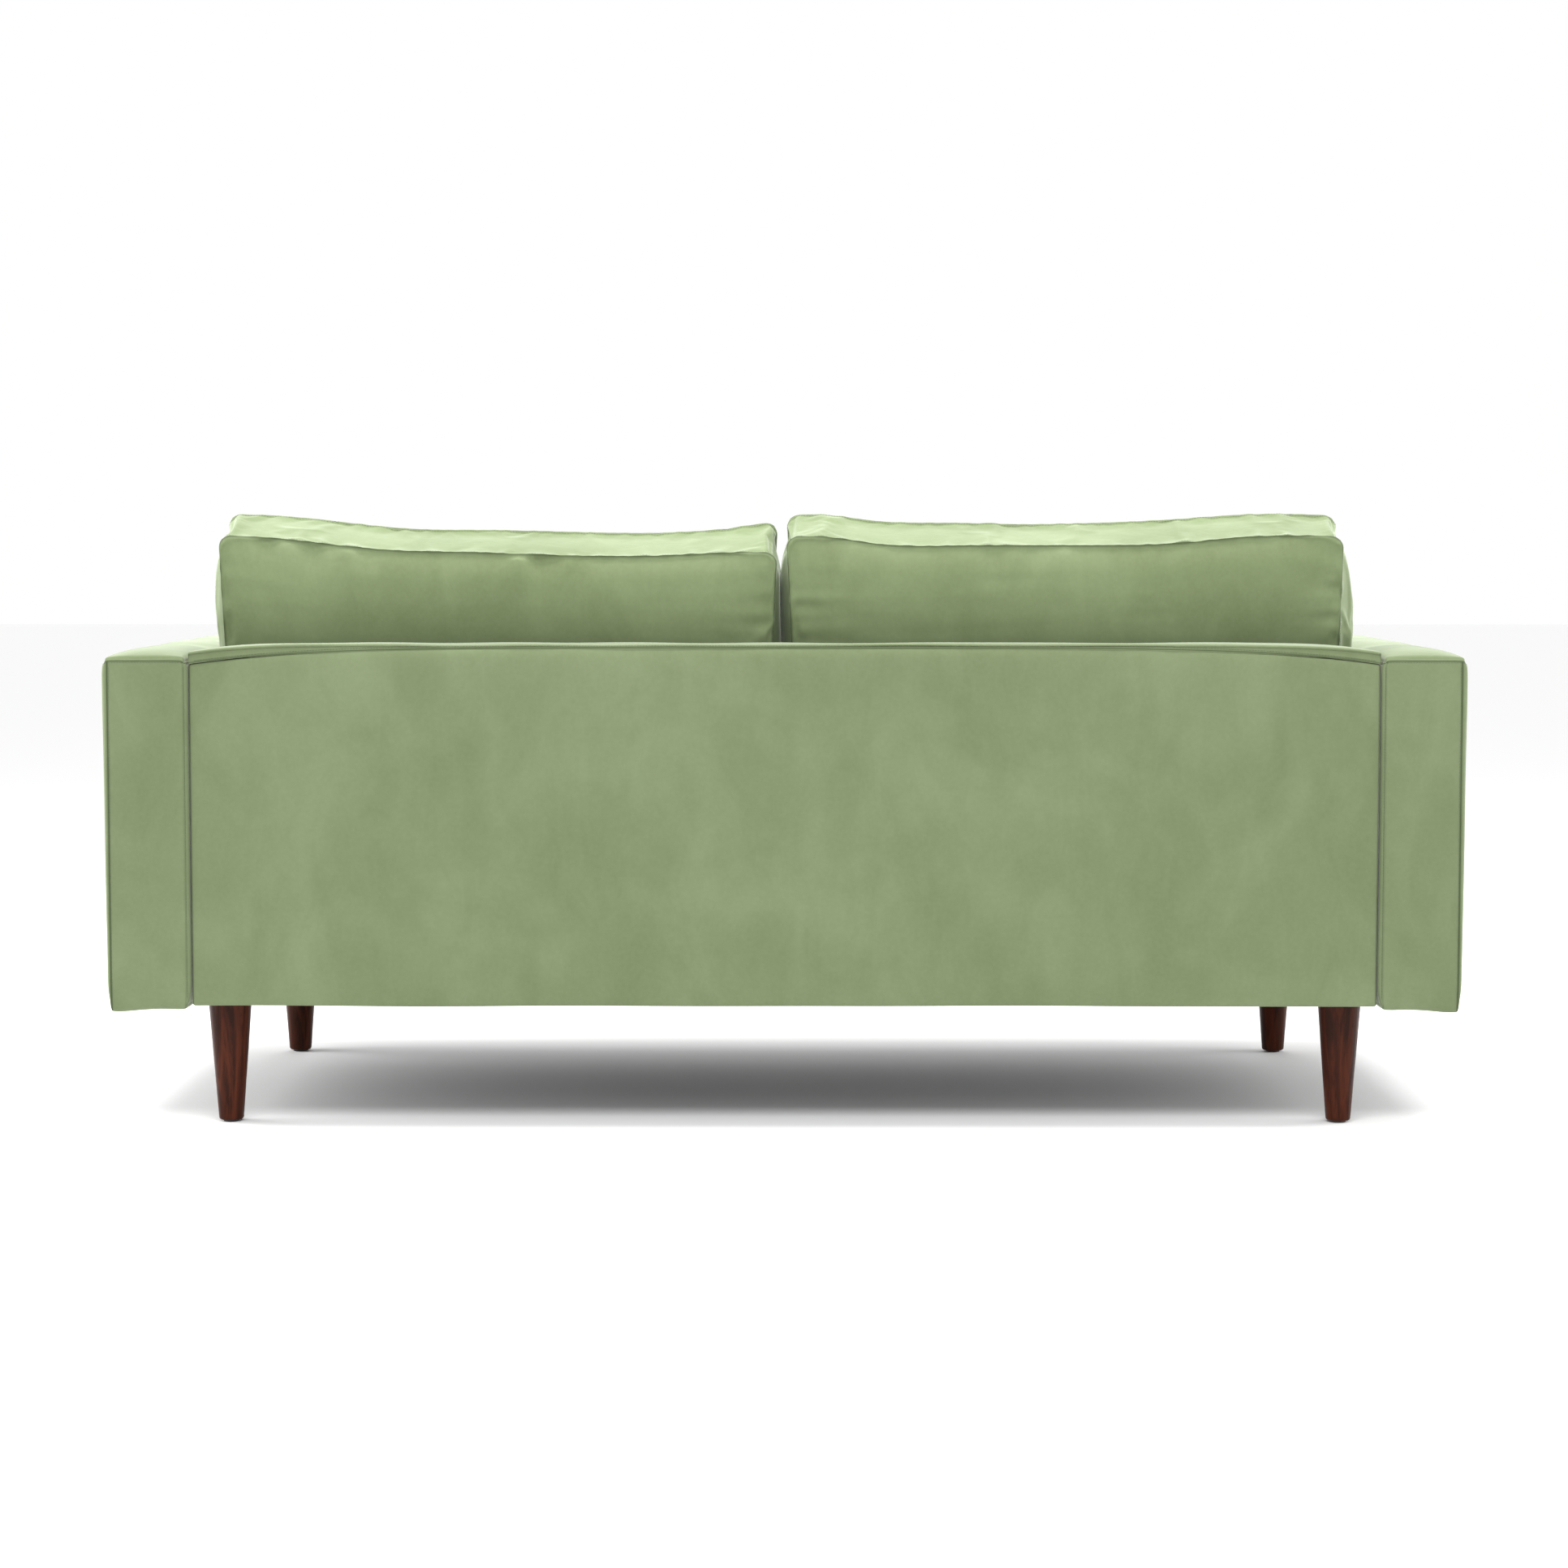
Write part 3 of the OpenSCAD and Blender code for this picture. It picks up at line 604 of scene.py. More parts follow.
def build_arm():
    """The left arm: pillowed panels, three soft lumps along its top, seams sunk at its corners."""
    lo, hi = ARM_LOW + (0.7 * MM, 0, -1 * MM), ARM_HIGH.copy()
    hi[2] = ARM_SEAM_Z + 6 * MM
    arm = cut_block("arm_left", [rows(lo[0], hi[0], 6 * MM, EDGE_ROWS),
                                 rows(lo[1], hi[1], 9 * MM, EDGE_ROWS),
                                 rows(lo[2], hi[2], 9 * MM, EDGE_ROWS)])
    flat = corners(arm)
    co, out = rounded(flat, lo, hi, ARM_EDGE)
    x, y, z = flat.T
    mid_x, mid_z = (lo[0] + hi[0]) / 2, (lo[2] + hi[2]) / 2
    flange = (hi[0] - lo[0]) / 2 - ARM_FLANGE, hi[1] - ARM_FLANGE
    across = np.abs(x - mid_x) / (hi[0] - lo[0]) * 2
    along = np.abs(y) / hi[1]
    upright = np.abs(z - mid_z) / (hi[2] - lo[2]) * 2
    on_top, on_end = np.clip(out[:, 2], 0, 1), np.abs(out[:, 1])
    on_outside, on_inside = np.clip(out[:, 0], 0, 1), np.clip(-out[:, 0], 0, 1)
    # the crowned top, with a valley across it behind each lump
    crown = ARM_CROWN * (1 - across ** 2.4) * (1 - along ** 14)
    valleys = ridge(hi[1] - y - 0.30, 0.035) * 3.2 * MM + ridge(hi[1] - y - 0.52, 0.04) * 2.6 * MM
    lift = on_top * (crown - valleys * (1 - across ** 3))
    # the padded ends and sides
    lift += on_end * 4 * MM * (1 - across ** 4) * (1 - upright ** 8)
    lift += on_outside * 2.5 * MM * (1 - along ** 6) * (1 - upright ** 6)
    lift += on_inside * 0.5 * MM * (1 - along ** 6) * (1 - upright ** 6)
    lift += swell(flat, 0.11, 3) * 0.9 * MM * (1 - 0.6 * on_inside)
    # short gathers where the top panel is sewn down
    top_gap = np.abs(z - ARM_SEAM_Z)
    gather = ridge(np.clip(ARM_SEAM_Z - z, 0, 1), 0.05) * (1 - on_top)
    lift += gather * swell(flat * (1, 1, 0.2), 0.016, 5) * 0.35 * MM
    # seams
    side_gap = np.abs(hi[0] - ARM_SEAM_IN - x)
    seam = np.maximum(ridge(top_gap, 1.3 * MM) * (1 - on_top),
                      ridge(side_gap, 1.3 * MM) * (on_end > 0.5) * (z < ARM_SEAM_Z))
    stitched = ridge(x - lo[0] - ARM_TOPSTITCH_IN, 1.6 * MM) * (on_end > 0.5) * (z < ARM_SEAM_Z)
    lift -= 1.8 * MM * seam + 0.9 * MM * stitched
    co += out * lift[:, None]
    # the outside narrows a little towards the floor, and the hem is not quite straight
    drop = np.clip((hi[2] - z) / (hi[2] - lo[2]), 0, 1)
    co[:, 0] -= on_outside * 4 * MM * drop ** 1.6
    hem = ridge(z - lo[2], 0.02)
    co[:, 2] += hem * (swell(flat * (1, 1, 0), 0.05, 8) * 1.3 * MM + 6 * MM * across ** 9)
    co[:, 0] -= np.sign(x - mid_x) * 4 * MM * hem * across ** 9
    shoulder = ridge(hi[2] - z, 0.012) * across ** 12
    co[:, 2] -= 4 * MM * shoulder
    co[:, 0] -= np.sign(x - mid_x) * 3 * MM * shoulder
    # open underside, turned in under the frame as a flange
    under = (np.clip((flange[0] - np.abs(x - mid_x)) / (4 * MM), 0, 1)
             * np.clip((flange[1] - np.abs(y)) / (4 * MM), 0, 1) * (z < lo[2] + 1e-5))
    co[:, 2] += 4 * MM * under
    move_corners(arm, co)
    mark_seam(arm, seam * 0.8 + stitched * 0.25)
    return arm


def arm_stitch_routes():
    """Stitching under the seam all round the top, and down both edges of each end."""
    lo, hi, z = ARM_LOW, ARM_HIGH, ARM_SEAM_Z - 2.4 * MM
    ring = [(lo[0], lo[1], z), (hi[0], lo[1], z), (hi[0], hi[1], z), (lo[0], hi[1], z),
            (lo[0], lo[1], z)]
    routes = [[a, b] for a, b in zip(ring, ring[1:])]
    for y in (lo[1], hi[1]):
        for x in (lo[0] + ARM_TOPSTITCH_IN, hi[0] - ARM_SEAM_IN - 2.6 * MM):
            routes.append([(x, y, ARM_SEAM_Z - 6 * MM), (x, y, lo[2] + 12 * MM)])
    return routes


def make_arms():
    """Both arms with their stitching, the right one a mirrored copy."""
    arm = build_arm()
    subdivide(arm)
    thread = lay_stitches("arm_stitches_left", arm, arm_stitch_routes())
    for side, host, sewn in ((LEFT, arm, thread), (RIGHT, mirrored_copy(arm, "arm_right"),
                                                   mirrored_copy(thread, "arm_stitches_right"))):
        end = "left" if side == LEFT else "right"
        finish_piece(host, "velvet", "root", [f"arm_cover_{end}", f"arm_foam_{end}"])
        finish_piece(sewn, "thread", "root")


# ---------------------------------------------------------------- back panel, band and borders

def back_seam_z(x):
    """Height of the seam along the top of the back: level, then pulled down at both ends."""
    u = np.clip(np.abs(x) / ARM_INNER_X, 0, 1)
    return LEAN_Z - 3.5 * MM - 23.5 * MM * u ** 5.3


def band_top_z(x):
    """Height of the padded band along its top, lower at both ends."""
    u = np.clip(np.abs(x) / ARM_INNER_X, 0, 1)
    return LEAN_Z + 1.5 * MM - 11 * MM * u ** 14


PANEL_ROLL = 9 * MM


def panel_roll(x):
    """How far the padded panel rolls in towards the seam along its top; less at the ends."""
    u = np.clip(np.abs(x) / ARM_INNER_X, 0, 1)
    return PANEL_ROLL - 5.5 * MM * np.clip(1.6 * u ** 5.3, 0, 1)


def make_back_panel():
    """Outer panel of the back, lightly padded, rolled in along its top."""
    half = BACK_HALF
    lo = np.array([-half, REAR_Y - 9 * MM, PANEL_LOW_Z - 0.5 * MM])
    hi = np.array([half, REAR_Y, LEAN_Z])
    panel = cut_block("back_panel", [rows(lo[0], hi[0], 12 * MM, (1, 2, 3.5, 5, 8, 12)),
                                     rows(lo[1], hi[1], 3 * MM, (1, 2, 3)),
                                     rows(lo[2], hi[2], 9 * MM, (1, 2, 3, 4.5, 7, 12))])
    flat = corners(panel)
    co, out = rounded(flat, lo, hi, 4.4 * MM)
    x, _, z = flat.T
    across, rise = np.abs(x) / half, (z - lo[2]) / (hi[2] - lo[2])
    on_rear = np.clip(out[:, 1], 0, 1)
    swag = 3.0 * MM * (1 - across ** 10) * (1 - np.abs(2 * rise - 1) ** 6)
    lift = swag + swell(flat, 0.22, 11) * 1.2 * MM + swell(flat * (1, 1, 0.4), 0.07, 12) * 0.35 * MM
    edge_gap = np.minimum(hi[2] - z, half - np.abs(x))
    lift += ridge(edge_gap - 10 * MM, 8 * MM) * 0.8 * MM
    lift -= panel_roll(x) * np.exp(-np.clip(hi[2] - z, 0, 1) / 0.016)
    lift += ridge(hi[2] - z, 0.05) * swell(flat * (1, 1, 0.15), 0.03, 13) * 0.5 * MM
    co[:, 1] += on_rear * lift
    co[:, 1] -= (1 - on_rear) * 5 * MM * ridge(hi[2] - z, 8 * MM) * (1 - across ** 8)
    co[:, 2] = lo[2] + (co[:, 2] - lo[2]) * (back_seam_z(x) + 0.9 * MM - lo[2]) / (hi[2] - lo[2])
    co[:, 2] += ridge(z - lo[2], 0.03) * swell(flat * (1, 0, 0), 0.12, 14) * 0.8 * MM
    move_corners(panel, co)
    mark_seam(panel, ridge(edge_gap, 1.5 * MM) * 0.8)
    finish_piece(panel, "velvet", "root", ["outer_back_panel"])


def make_top_band():
    """Padded cap over the top of the back, sewn to the outer panel along the rear."""
    half = BACK_HALF
    lo = np.array([-half, LEAN_Y + 1.6 * MM, 0.0])
    hi = np.array([half, REAR_Y + 2.5 * MM, 1.0])
    band = cut_block("back_band", [rows(lo[0], hi[0], 12 * MM, (1, 2, 3.5, 5, 8, 12)),
                                   rows(lo[1], hi[1], 4 * MM, (1, 2, 3, 4, 5, 6.5, 8)),
                                   rows(0, 1, 0.1)])
    flat = corners(band)
    x, y, t = flat.T
    top, seam = band_top_z(x), back_seam_z(x) + 0.5 * MM
    inside = np.clip((hi[1] - y) / (12 * MM), 0, 1)
    bottom = seam + (high("back_top_rail")[2] - 1 * MM - seam) * inside
    depth = np.clip((hi[1] - y) / (6 * MM), 0, 1)
    shoulder = 5 * MM * (1 - np.sqrt(1 - (1 - depth) ** 2)) * np.where(t > 0.5, 1, 0)
    co = flat.copy()
    co[:, 2] = bottom + (top - bottom) * t
    crown = 1.5 * MM * (1 - (2 * (y - lo[1]) / (hi[1] - lo[1]) - 1) ** 4)
    co[:, 2] += np.where(t > 0.99, crown - np.minimum(shoulder, (top - seam) * 0.7), 0)
    co[:, 2] += np.where(t > 0.99, swell(flat * (1, 1, 0), 0.09, 21) * 0.8 * MM, 0)
    rear_face = y > hi[1] - 1e-5
    co[:, 1] -= np.where(rear_face, 1.2 * MM * np.abs(2 * t - 1) ** 3 + 4 * MM * t, 0)
    co[:, 1] -= panel_roll(x) * np.clip((y - hi[1]) / (20 * MM) + 1, 0, 1)
    move_corners(band, co)
    mark_seam(band, np.where(rear_face, ridge(t, 0.15), 0) * 0.8)
    xs = np.linspace(-half + 5 * MM, half - 5 * MM, 160)
    route = np.stack([xs, hi[1] - panel_roll(xs), back_seam_z(xs) + 4.0 * MM], 1)
    thread = lay_stitches("back_band_stitches", band, [route])
    finish_piece(band, "velvet", "root", ["back_top_band"])
    finish_piece(thread, "thread", "root")


# ---------------------------------------------------------------- legs

FOOT_RADIUS, FOOT_ROUND, RIM_ROUND = 18 * MM, 3.5 * MM, 1.2 * MM


def make_leg(end):
    """A turned leg, tapering from the frame down to a rounded foot."""
    lo, hi = low(end), high(end)
    centre = (lo + hi) / 2
    top_radius = (hi[0] - lo[0]) / 2
    deselect()
    bpy.ops.mesh.primitive_cylinder_add(vertices=72, radius=1, depth=1, end_fill_type="NGON")
    leg = bpy.context.object
    leg.name = leg.data.name = end + "_turned"
    bpy.ops.object.mode_set(mode="EDIT")
    bpy.ops.mesh.select_all(action="DESELECT")
    mesh = bmesh.from_edit_mesh(leg.data)
    for edge in mesh.edges:
        edge.select_set(abs(edge.verts[0].co.z - edge.verts[1].co.z) > 0.5)
    bmesh.update_edit_mesh(leg.data)
    bpy.ops.mesh.subdivide(number_cuts=30)
    for _ in range(2):
        mesh = bmesh.from_edit_mesh(leg.data)
        for face in mesh.faces:
            face.select_set(len(face.verts) > 4)
        bmesh.update_edit_mesh(leg.data)
        bpy.ops.mesh.inset(thickness=0.3)
    bpy.ops.object.mode_set(mode="OBJECT")
    co = corners(leg)
    t = co[:, 2] + 0.5
    near = np.concatenate([[0, 0.4, 1, 1.8, 2.6, 3.5], np.linspace(8, 177, 20),
                           [178.5, 179.5, 180.2]]) * MM
    height = np.interp(t, np.linspace(0, 1, len(near)), near / near.max()) * (hi[2] - lo[2])
    radius = FOOT_RADIUS + (top_radius - FOOT_RADIUS) * height / (hi[2] - lo[2])
    rolled = np.clip(1 - height / FOOT_ROUND, 0, 1)
    radius -= FOOT_ROUND * (1 - np.sqrt(1 - rolled ** 2))
    rim = np.clip(1 - (hi[2] - lo[2] - height) / (1.5 * MM), 0, 1)
    radius -= RIM_ROUND * (1 - np.sqrt(1 - rim ** 2))
    co[:, :2] *= radius[:, None]
    co[:, 2] = height + lo[2]
    co[:, :2] += centre[:2]
    move_corners(leg, co)
    finish_piece(leg, "walnut", "root", [end])


# ---------------------------------------------------------------- loose cushions, shared steps

SEAM_ROWS = (2.5, 5, 8, 12, 18)
TOPSTITCH_IN = 5 * MM
CLOTH_STEPS = 20
MOST_INWARD = 2 * MM


def smooth_curve(points, where):
    """Heights of a soft curve through a few (place, height) points, at each place asked for."""
    xs, ys = np.array(points, float).T * MM
    slopes = np.gradient(ys, xs)
    k = np.clip(np.searchsorted(xs, where) - 1, 0, len(xs) - 2)
    span = xs[k + 1] - xs[k]
    t = np.clip((where - xs[k]) / span, 0, 1)
    rise = 3 * t ** 2 - 2 * t ** 3
    return (ys[k] * (1 - rise) + ys[k + 1] * rise + span * slopes[k] * (t ** 3 - 2 * t ** 2 + t)
            + span * slopes[k + 1] * (t ** 3 - t ** 2))


def soft_corners(flat, size, axes, radius):
    """The block with its four corners rounded as seen along the third axis."""
    a, b = axes
    co = flat.copy()
    out_a = flat[:, a] - np.clip(flat[:, a], radius, size[a] - radius)
    out_b = flat[:, b] - np.clip(flat[:, b], radius, size[b] - radius)
    ratio = np.maximum(np.abs(out_a), np.abs(out_b)) / np.maximum(np.hypot(out_a, out_b), 1e-9)
    both = (out_a != 0) & (out_b != 0)
    co[both, a] += (out_a * (ratio - 1))[both]
    co[both, b] += (out_b * (ratio - 1))[both]
    return co


def edge_distances(flat, size, axis):
    """How far each point is from the nearest seam, and whether it is on the boxing strip."""
    others = [k for k in range(3) if k != axis]
    gaps = np.minimum(flat, size - flat)
    sides = gaps[:, others]
    on_strip = sides.min(1) < 1e-6
    return np.where(on_strip, gaps[:, axis], sides.min(1)), on_strip, sides


def dome(share, power):
    """One in the middle of a span and nothing at its ends. share runs from 0 to 1."""
    return 1 - np.abs(2 * share - 1) ** power


def roll_over(gap, radius):
    """A quarter-round rise beside a seam, from nothing at the seam to one a radius away."""
    return np.sqrt(1 - (1 - np.clip(gap / radius, 0, 1)) ** 2)


def blow_up(piece, held, pressure, slack, most):
    """Simulates the filled cover as cloth. Held points stay and none moves further than most."""
    group = piece.vertex_groups.new(name="sewn")
    group.add([int(i) for i in np.flatnonzero(held)], 1.0, "REPLACE")
    before, out = corners(piece), facing(piece)
    activate(piece)
    bpy.ops.object.modifier_add(type="CLOTH")
    cloth = piece.modifiers[-1]
    cloth.settings.vertex_group_mass = group.name
    cloth.settings.use_pressure = True
    cloth.settings.uniform_pressure_force = pressure
    cloth.settings.shrink_min = -slack
    cloth.settings.effector_weights.gravity = 0
    cloth.settings.tension_stiffness = cloth.settings.compression_stiffness = 25
    cloth.settings.shear_stiffness = 15
    cloth.settings.bending_stiffness = 1.2
    cloth.settings.quality = 5
    cloth.point_cache.frame_start, cloth.point_cache.frame_end = 1, CLOTH_STEPS
    for step in range(1, CLOTH_STEPS + 1):
        bpy.context.scene.frame_set(step)
    bpy.ops.object.modifier_apply(modifier=cloth.name)
    bpy.context.scene.frame_set(1)
    piece.vertex_groups.clear()
    moved = corners(piece) - before
    inward = np.clip(-(moved * out).sum(1, keepdims=True) - MOST_INWARD, 0, 1)
    moved += out * inward
    far = np.linalg.norm(moved, axis=1, keepdims=True)
    move_corners(piece, before + moved * np.tanh(far / most) * most / np.maximum(far, 1e-9))


def gather(piece, flat, size, axis, seed, strength):
    """Sinks the seams, rolls a lip beside them, and puckers the cloth where it is sewn in."""
    near, on_strip, sides = edge_distances(flat, size, axis)
    a, b = [k for k in range(3) if k != axis]
    lie = np.ones(3)
    lie[b] = 0.16
    from_b = swell(flat * lie, 0.022, seed)
    lie = np.ones(3)
    lie[a] = 0.16
    from_a = swell(flat * lie, 0.013, seed + 1)
    lie = np.ones(3)
    lie[axis] = 0.3
    on_boxing = swell(flat * lie, 0.016, seed + 2)
    panel = (from_b * sides[:, 0] + from_a * sides[:, 1]) / np.maximum(sides.sum(1), 1e-6)
    patches = np.clip(0.35 + 0.9 * swell(flat, 0.1, seed + 3), 0.05, 1.4)
    reach = np.where(on_strip, 0.02, 0.06)
    pucker = np.where(on_strip, on_boxing, 2.4 * panel) * patches * np.exp(-near / reach)
    pucker *= np.clip(near / (8 * MM), 0, 1) * strength * MM
    groove = -1.5 * MM * ridge(near, 1.6 * MM) + 0.9 * MM * ridge(near - 7 * MM, 4 * MM)
    stitched = -0.9 * MM * ridge(near - TOPSTITCH_IN, 1.5 * MM) * on_strip
    out = facing(piece)
    move_corners(piece, corners(piece) + out * (pucker + groove + stitched)[:, None])
    # how much painted shade each point takes: deep in the seam, and a little along the topstitch
    # line
    depth = ridge(near, 1.6 * MM) * 0.85 + ridge(near - TOPSTITCH_IN, 1.4 * MM) * on_strip * 0.2
    return np.clip(depth, 0, 1)


def stitch_ring(piece, flat, size, axis, place_at):
    """The line round the boxing at one row of the block, in order, closed."""
    _, on_strip, _ = edge_distances(flat, size, axis)
    a, b = [k for k in range(3) if k != axis]
    row = np.flatnonzero(on_strip & (np.abs(flat[:, axis] - place_at) < 1e-5))
    turn = np.arctan2(flat[row, b] / size[b] - 0.5, flat[row, a] / size[a] - 0.5)
    ring = corners(piece)[row[np.argsort(turn)]]
    return np.concatenate([ring, ring[:1]])


def sew_up(piece, kind, end, flat, size, axis, shade):
    """Turns a right-hand cushion right side out, topstitches both seams, and gives it its material
    and body in place of the frame's cover and core.
    """
    if end == "right":
        piece.data.flip_normals()
    mark_seam(piece, shade)
    routes = [stitch_ring(piece, flat, size, axis, at)
              for at in (TOPSTITCH_IN, size[axis] - TOPSTITCH_IN)]
    subdivide(piece)
    body = f"{kind}_cushion_{end}"
    thread = lay_stitches(body + "_stitches", piece, routes)
    # the loose cushions take the copy of the velvet painted lighter against their shade
    finish_piece(piece, "velvet_cushion_lit", body,
                 [f"{kind}_cover_{end}", f"{kind}_core_{end}"])
    finish_piece(thread, "thread", body)


# ---------------------------------------------------------------- back cushions

BACK_T = 160 * MM
BACK_BOTTOM = -258 * MM
BACK_TOP = 150 * MM
BACK_W = 813 * MM
LEAN_UP = np.array([0, sin(RECLINE), cos(RECLINE)])
LEAN_FORWARD = np.array([0, -cos(RECLINE), sin(RECLINE)])
# Each cushion as seen from the middle outwards: where its inner seam stands at the bottom and at
# the top, and the height of the seam along its top.
BACK_SHAPES = {
    "left": {"inner": (17, 12), "meet": 5.4, "front_rise": (14, 70),
             "top": [(0, 838), (47, 840.5), (197, 836.5), (435, 840.5), (586, 845), (650, 851),
                     (725, 859), (793, 864), (832, 864)]},
    "right": {"inner": (8, 3), "meet": -5.1, "front_rise": (0, 70),
              "top": [(0, 862), (40, 864), (160, 853), (300, 851), (455, 851), (600, 857),
                      (705, 865), (790, 865), (826, 862)]},
}


def back_place(x, forward, up):
    """Points on the lean of the back, from the top of the back's front edge."""
    pivot = np.array([0, LEAN_Y, LEAN_Z])
    return (pivot + np.stack([x, 0 * x, 0 * x], 1) + forward[:, None] * LEAN_FORWARD
            + up[:, None] * LEAN_UP)


def press_back(co, give):
    """Keeps the cushion in front of the back. Above the back it keeps this share of its bulge."""
    above = np.clip(co[:, 2] - LEAN_Z, 0, 1)
    behind = co[:, 1] - LEAN_Y - (co[:, 2] - LEAN_Z - 0.65 * above) * np.tan(RECLINE)
    free = np.clip((co[:, 2] - LEAN_Z - 2 * MM) / (14 * MM), 0, 1)
    co[:, 1] -= np.clip(behind, 0, 1) * (1 - give * free)
    return co


def make_back_cushion(end, seed):
    """One back cushion: cut, filled, gathered at its seams and pressed by what is around it."""
    side = LEFT if end == "left" else RIGHT
    shape = BACK_SHAPES[end]
    size = np.array([BACK_W, BACK_T, BACK_TOP - BACK_BOTTOM])
    piece = cut_block("back_cushion_" + end, [rows(0, size[0], 7.5 * MM, SEAM_ROWS),
                                              rows(0, size[1], 7.5 * MM, SEAM_ROWS),
                                              rows(0, size[2], 7.5 * MM, SEAM_ROWS)])
    flat = corners(piece)
    near = edge_distances(flat, size, 1)[0]
    u, w, t = (flat / size).T
    co = soft_corners(flat, size, (0, 2), 17 * MM)
    # the cut: sides, top line and bottom
    inner = np.interp(t, [0.6, 1], shape["inner"]) * MM
    outer = inner[t < 0.6][0] + BACK_W
    x = inner + (outer + 6 * MM * w * np.clip(t * 3 - 1, 0, 1) - inner) * co[:, 0] / size[0]
    up = BACK_BOTTOM + co[:, 2]
    top = (smooth_curve(shape["top"], x) - LEAN_Z) / cos(RECLINE)
    rise, width = shape["front_rise"]
    top += rise * MM * w * ridge(x, width * MM)
    up += (top - BACK_TOP) * np.clip((t - 0.35) / 0.65, 0, 1) ** 1.5
    up -= co[:, 1] * np.tan(RECLINE) * (1 - t)
    # the rear seam stands in front of the back, and the panel rolls out to reach it
    set_in = 30 * MM * (1 - w)
    up -= set_in * np.tan(RECLINE) * np.clip(2 * t - 1, 0, 1)
    forward = co[:, 1] + set_in
    # the fill: panels that roll over close to their seams, and a rounded boxing
    crown = dome(u, 9) * dome(t, 7) + 0.9 * roll_over(near, 0.045)
    forward += np.where(w > 0.999, 14 * MM, np.where(w < 0.001, -12 * MM, 0)) * crown
    side_bulge = dome(w, 2.2) * dome(np.clip(t * 1.05, 0, 1), 6)
    x += np.where(u > 0.999, 24 * MM, np.where(u < 0.001, -24 * MM, 0)) * side_bulge
    up += np.where(t > 0.999, 5 * MM, 0) * dome(w, 2.4) * dome(u, 10)
    x, up = x + swell(flat, 0.16, seed) * 1.5 * MM, up + swell(flat, 0.13, seed + 1) * 1.2 * MM
    move_corners(piece, back_place(x, forward, up))
    blow_up(piece, near < 1e-6, pressure=3.5, slack=0.03, most=9 * MM)
    move_corners(piece, press_back(corners(piece), 0.22))
    shade = gather(piece, flat, size, 1, seed + 2, strength=3.0)
    co = press_back(corners(piece), 1.0)
    # pressed by its neighbours: the other cushion, the arm, the back and the seat
    wave = 2 * MM * np.sin(co[:, 1] / (20 * MM)) * side
    co[:, 0] = np.maximum(co[:, 0], shape["meet"] * MM + wave)
    limit = CUSHION_OUTER_X + np.clip(co[:, 2] - ARM_HIGH[2] - 4 * MM, 0, 1) * 1.5
    co[:, 0] = np.minimum(co[:, 0], limit)
    co[:, 2] = np.maximum(co[:, 2], SEAT_TOP_Z + 0.8 * MM)
    # open slot for the zip in the bottom
    tape = (np.array(low("back_zip_" + end)), np.array(high("back_zip_" + end)))
    mid_y, half_y = (tape[0][1] + tape[1][1]) / 2, (tape[1][1] - tape[0][1]) / 2
    half_x = (tape[1][0] - tape[0][0]) / 2
    mid_x = abs(tape[0][0] + tape[1][0]) / 2
    inside = (np.clip((half_y + 2 * MM - np.abs(co[:, 1] - mid_y)) / (3 * MM), 0, 1)
              * np.clip((half_x + 6 * MM - np.abs(co[:, 0] - mid_x)) / (6 * MM), 0, 1)
              * (co[:, 2] < SEAT_TOP_Z + 4 * MM))
    co[:, 2] += inside * (tape[1][2] - 0.2 * MM - co[:, 2])
    co[:, 0] *= side
    move_corners(piece, co)
    sew_up(piece, "back", end, flat, size, 1, shade)


# ---------------------------------------------------------------- seat cushions

# where the front of the back cushions rests on the seat
BACK_FRONT_Y = 118 * MM


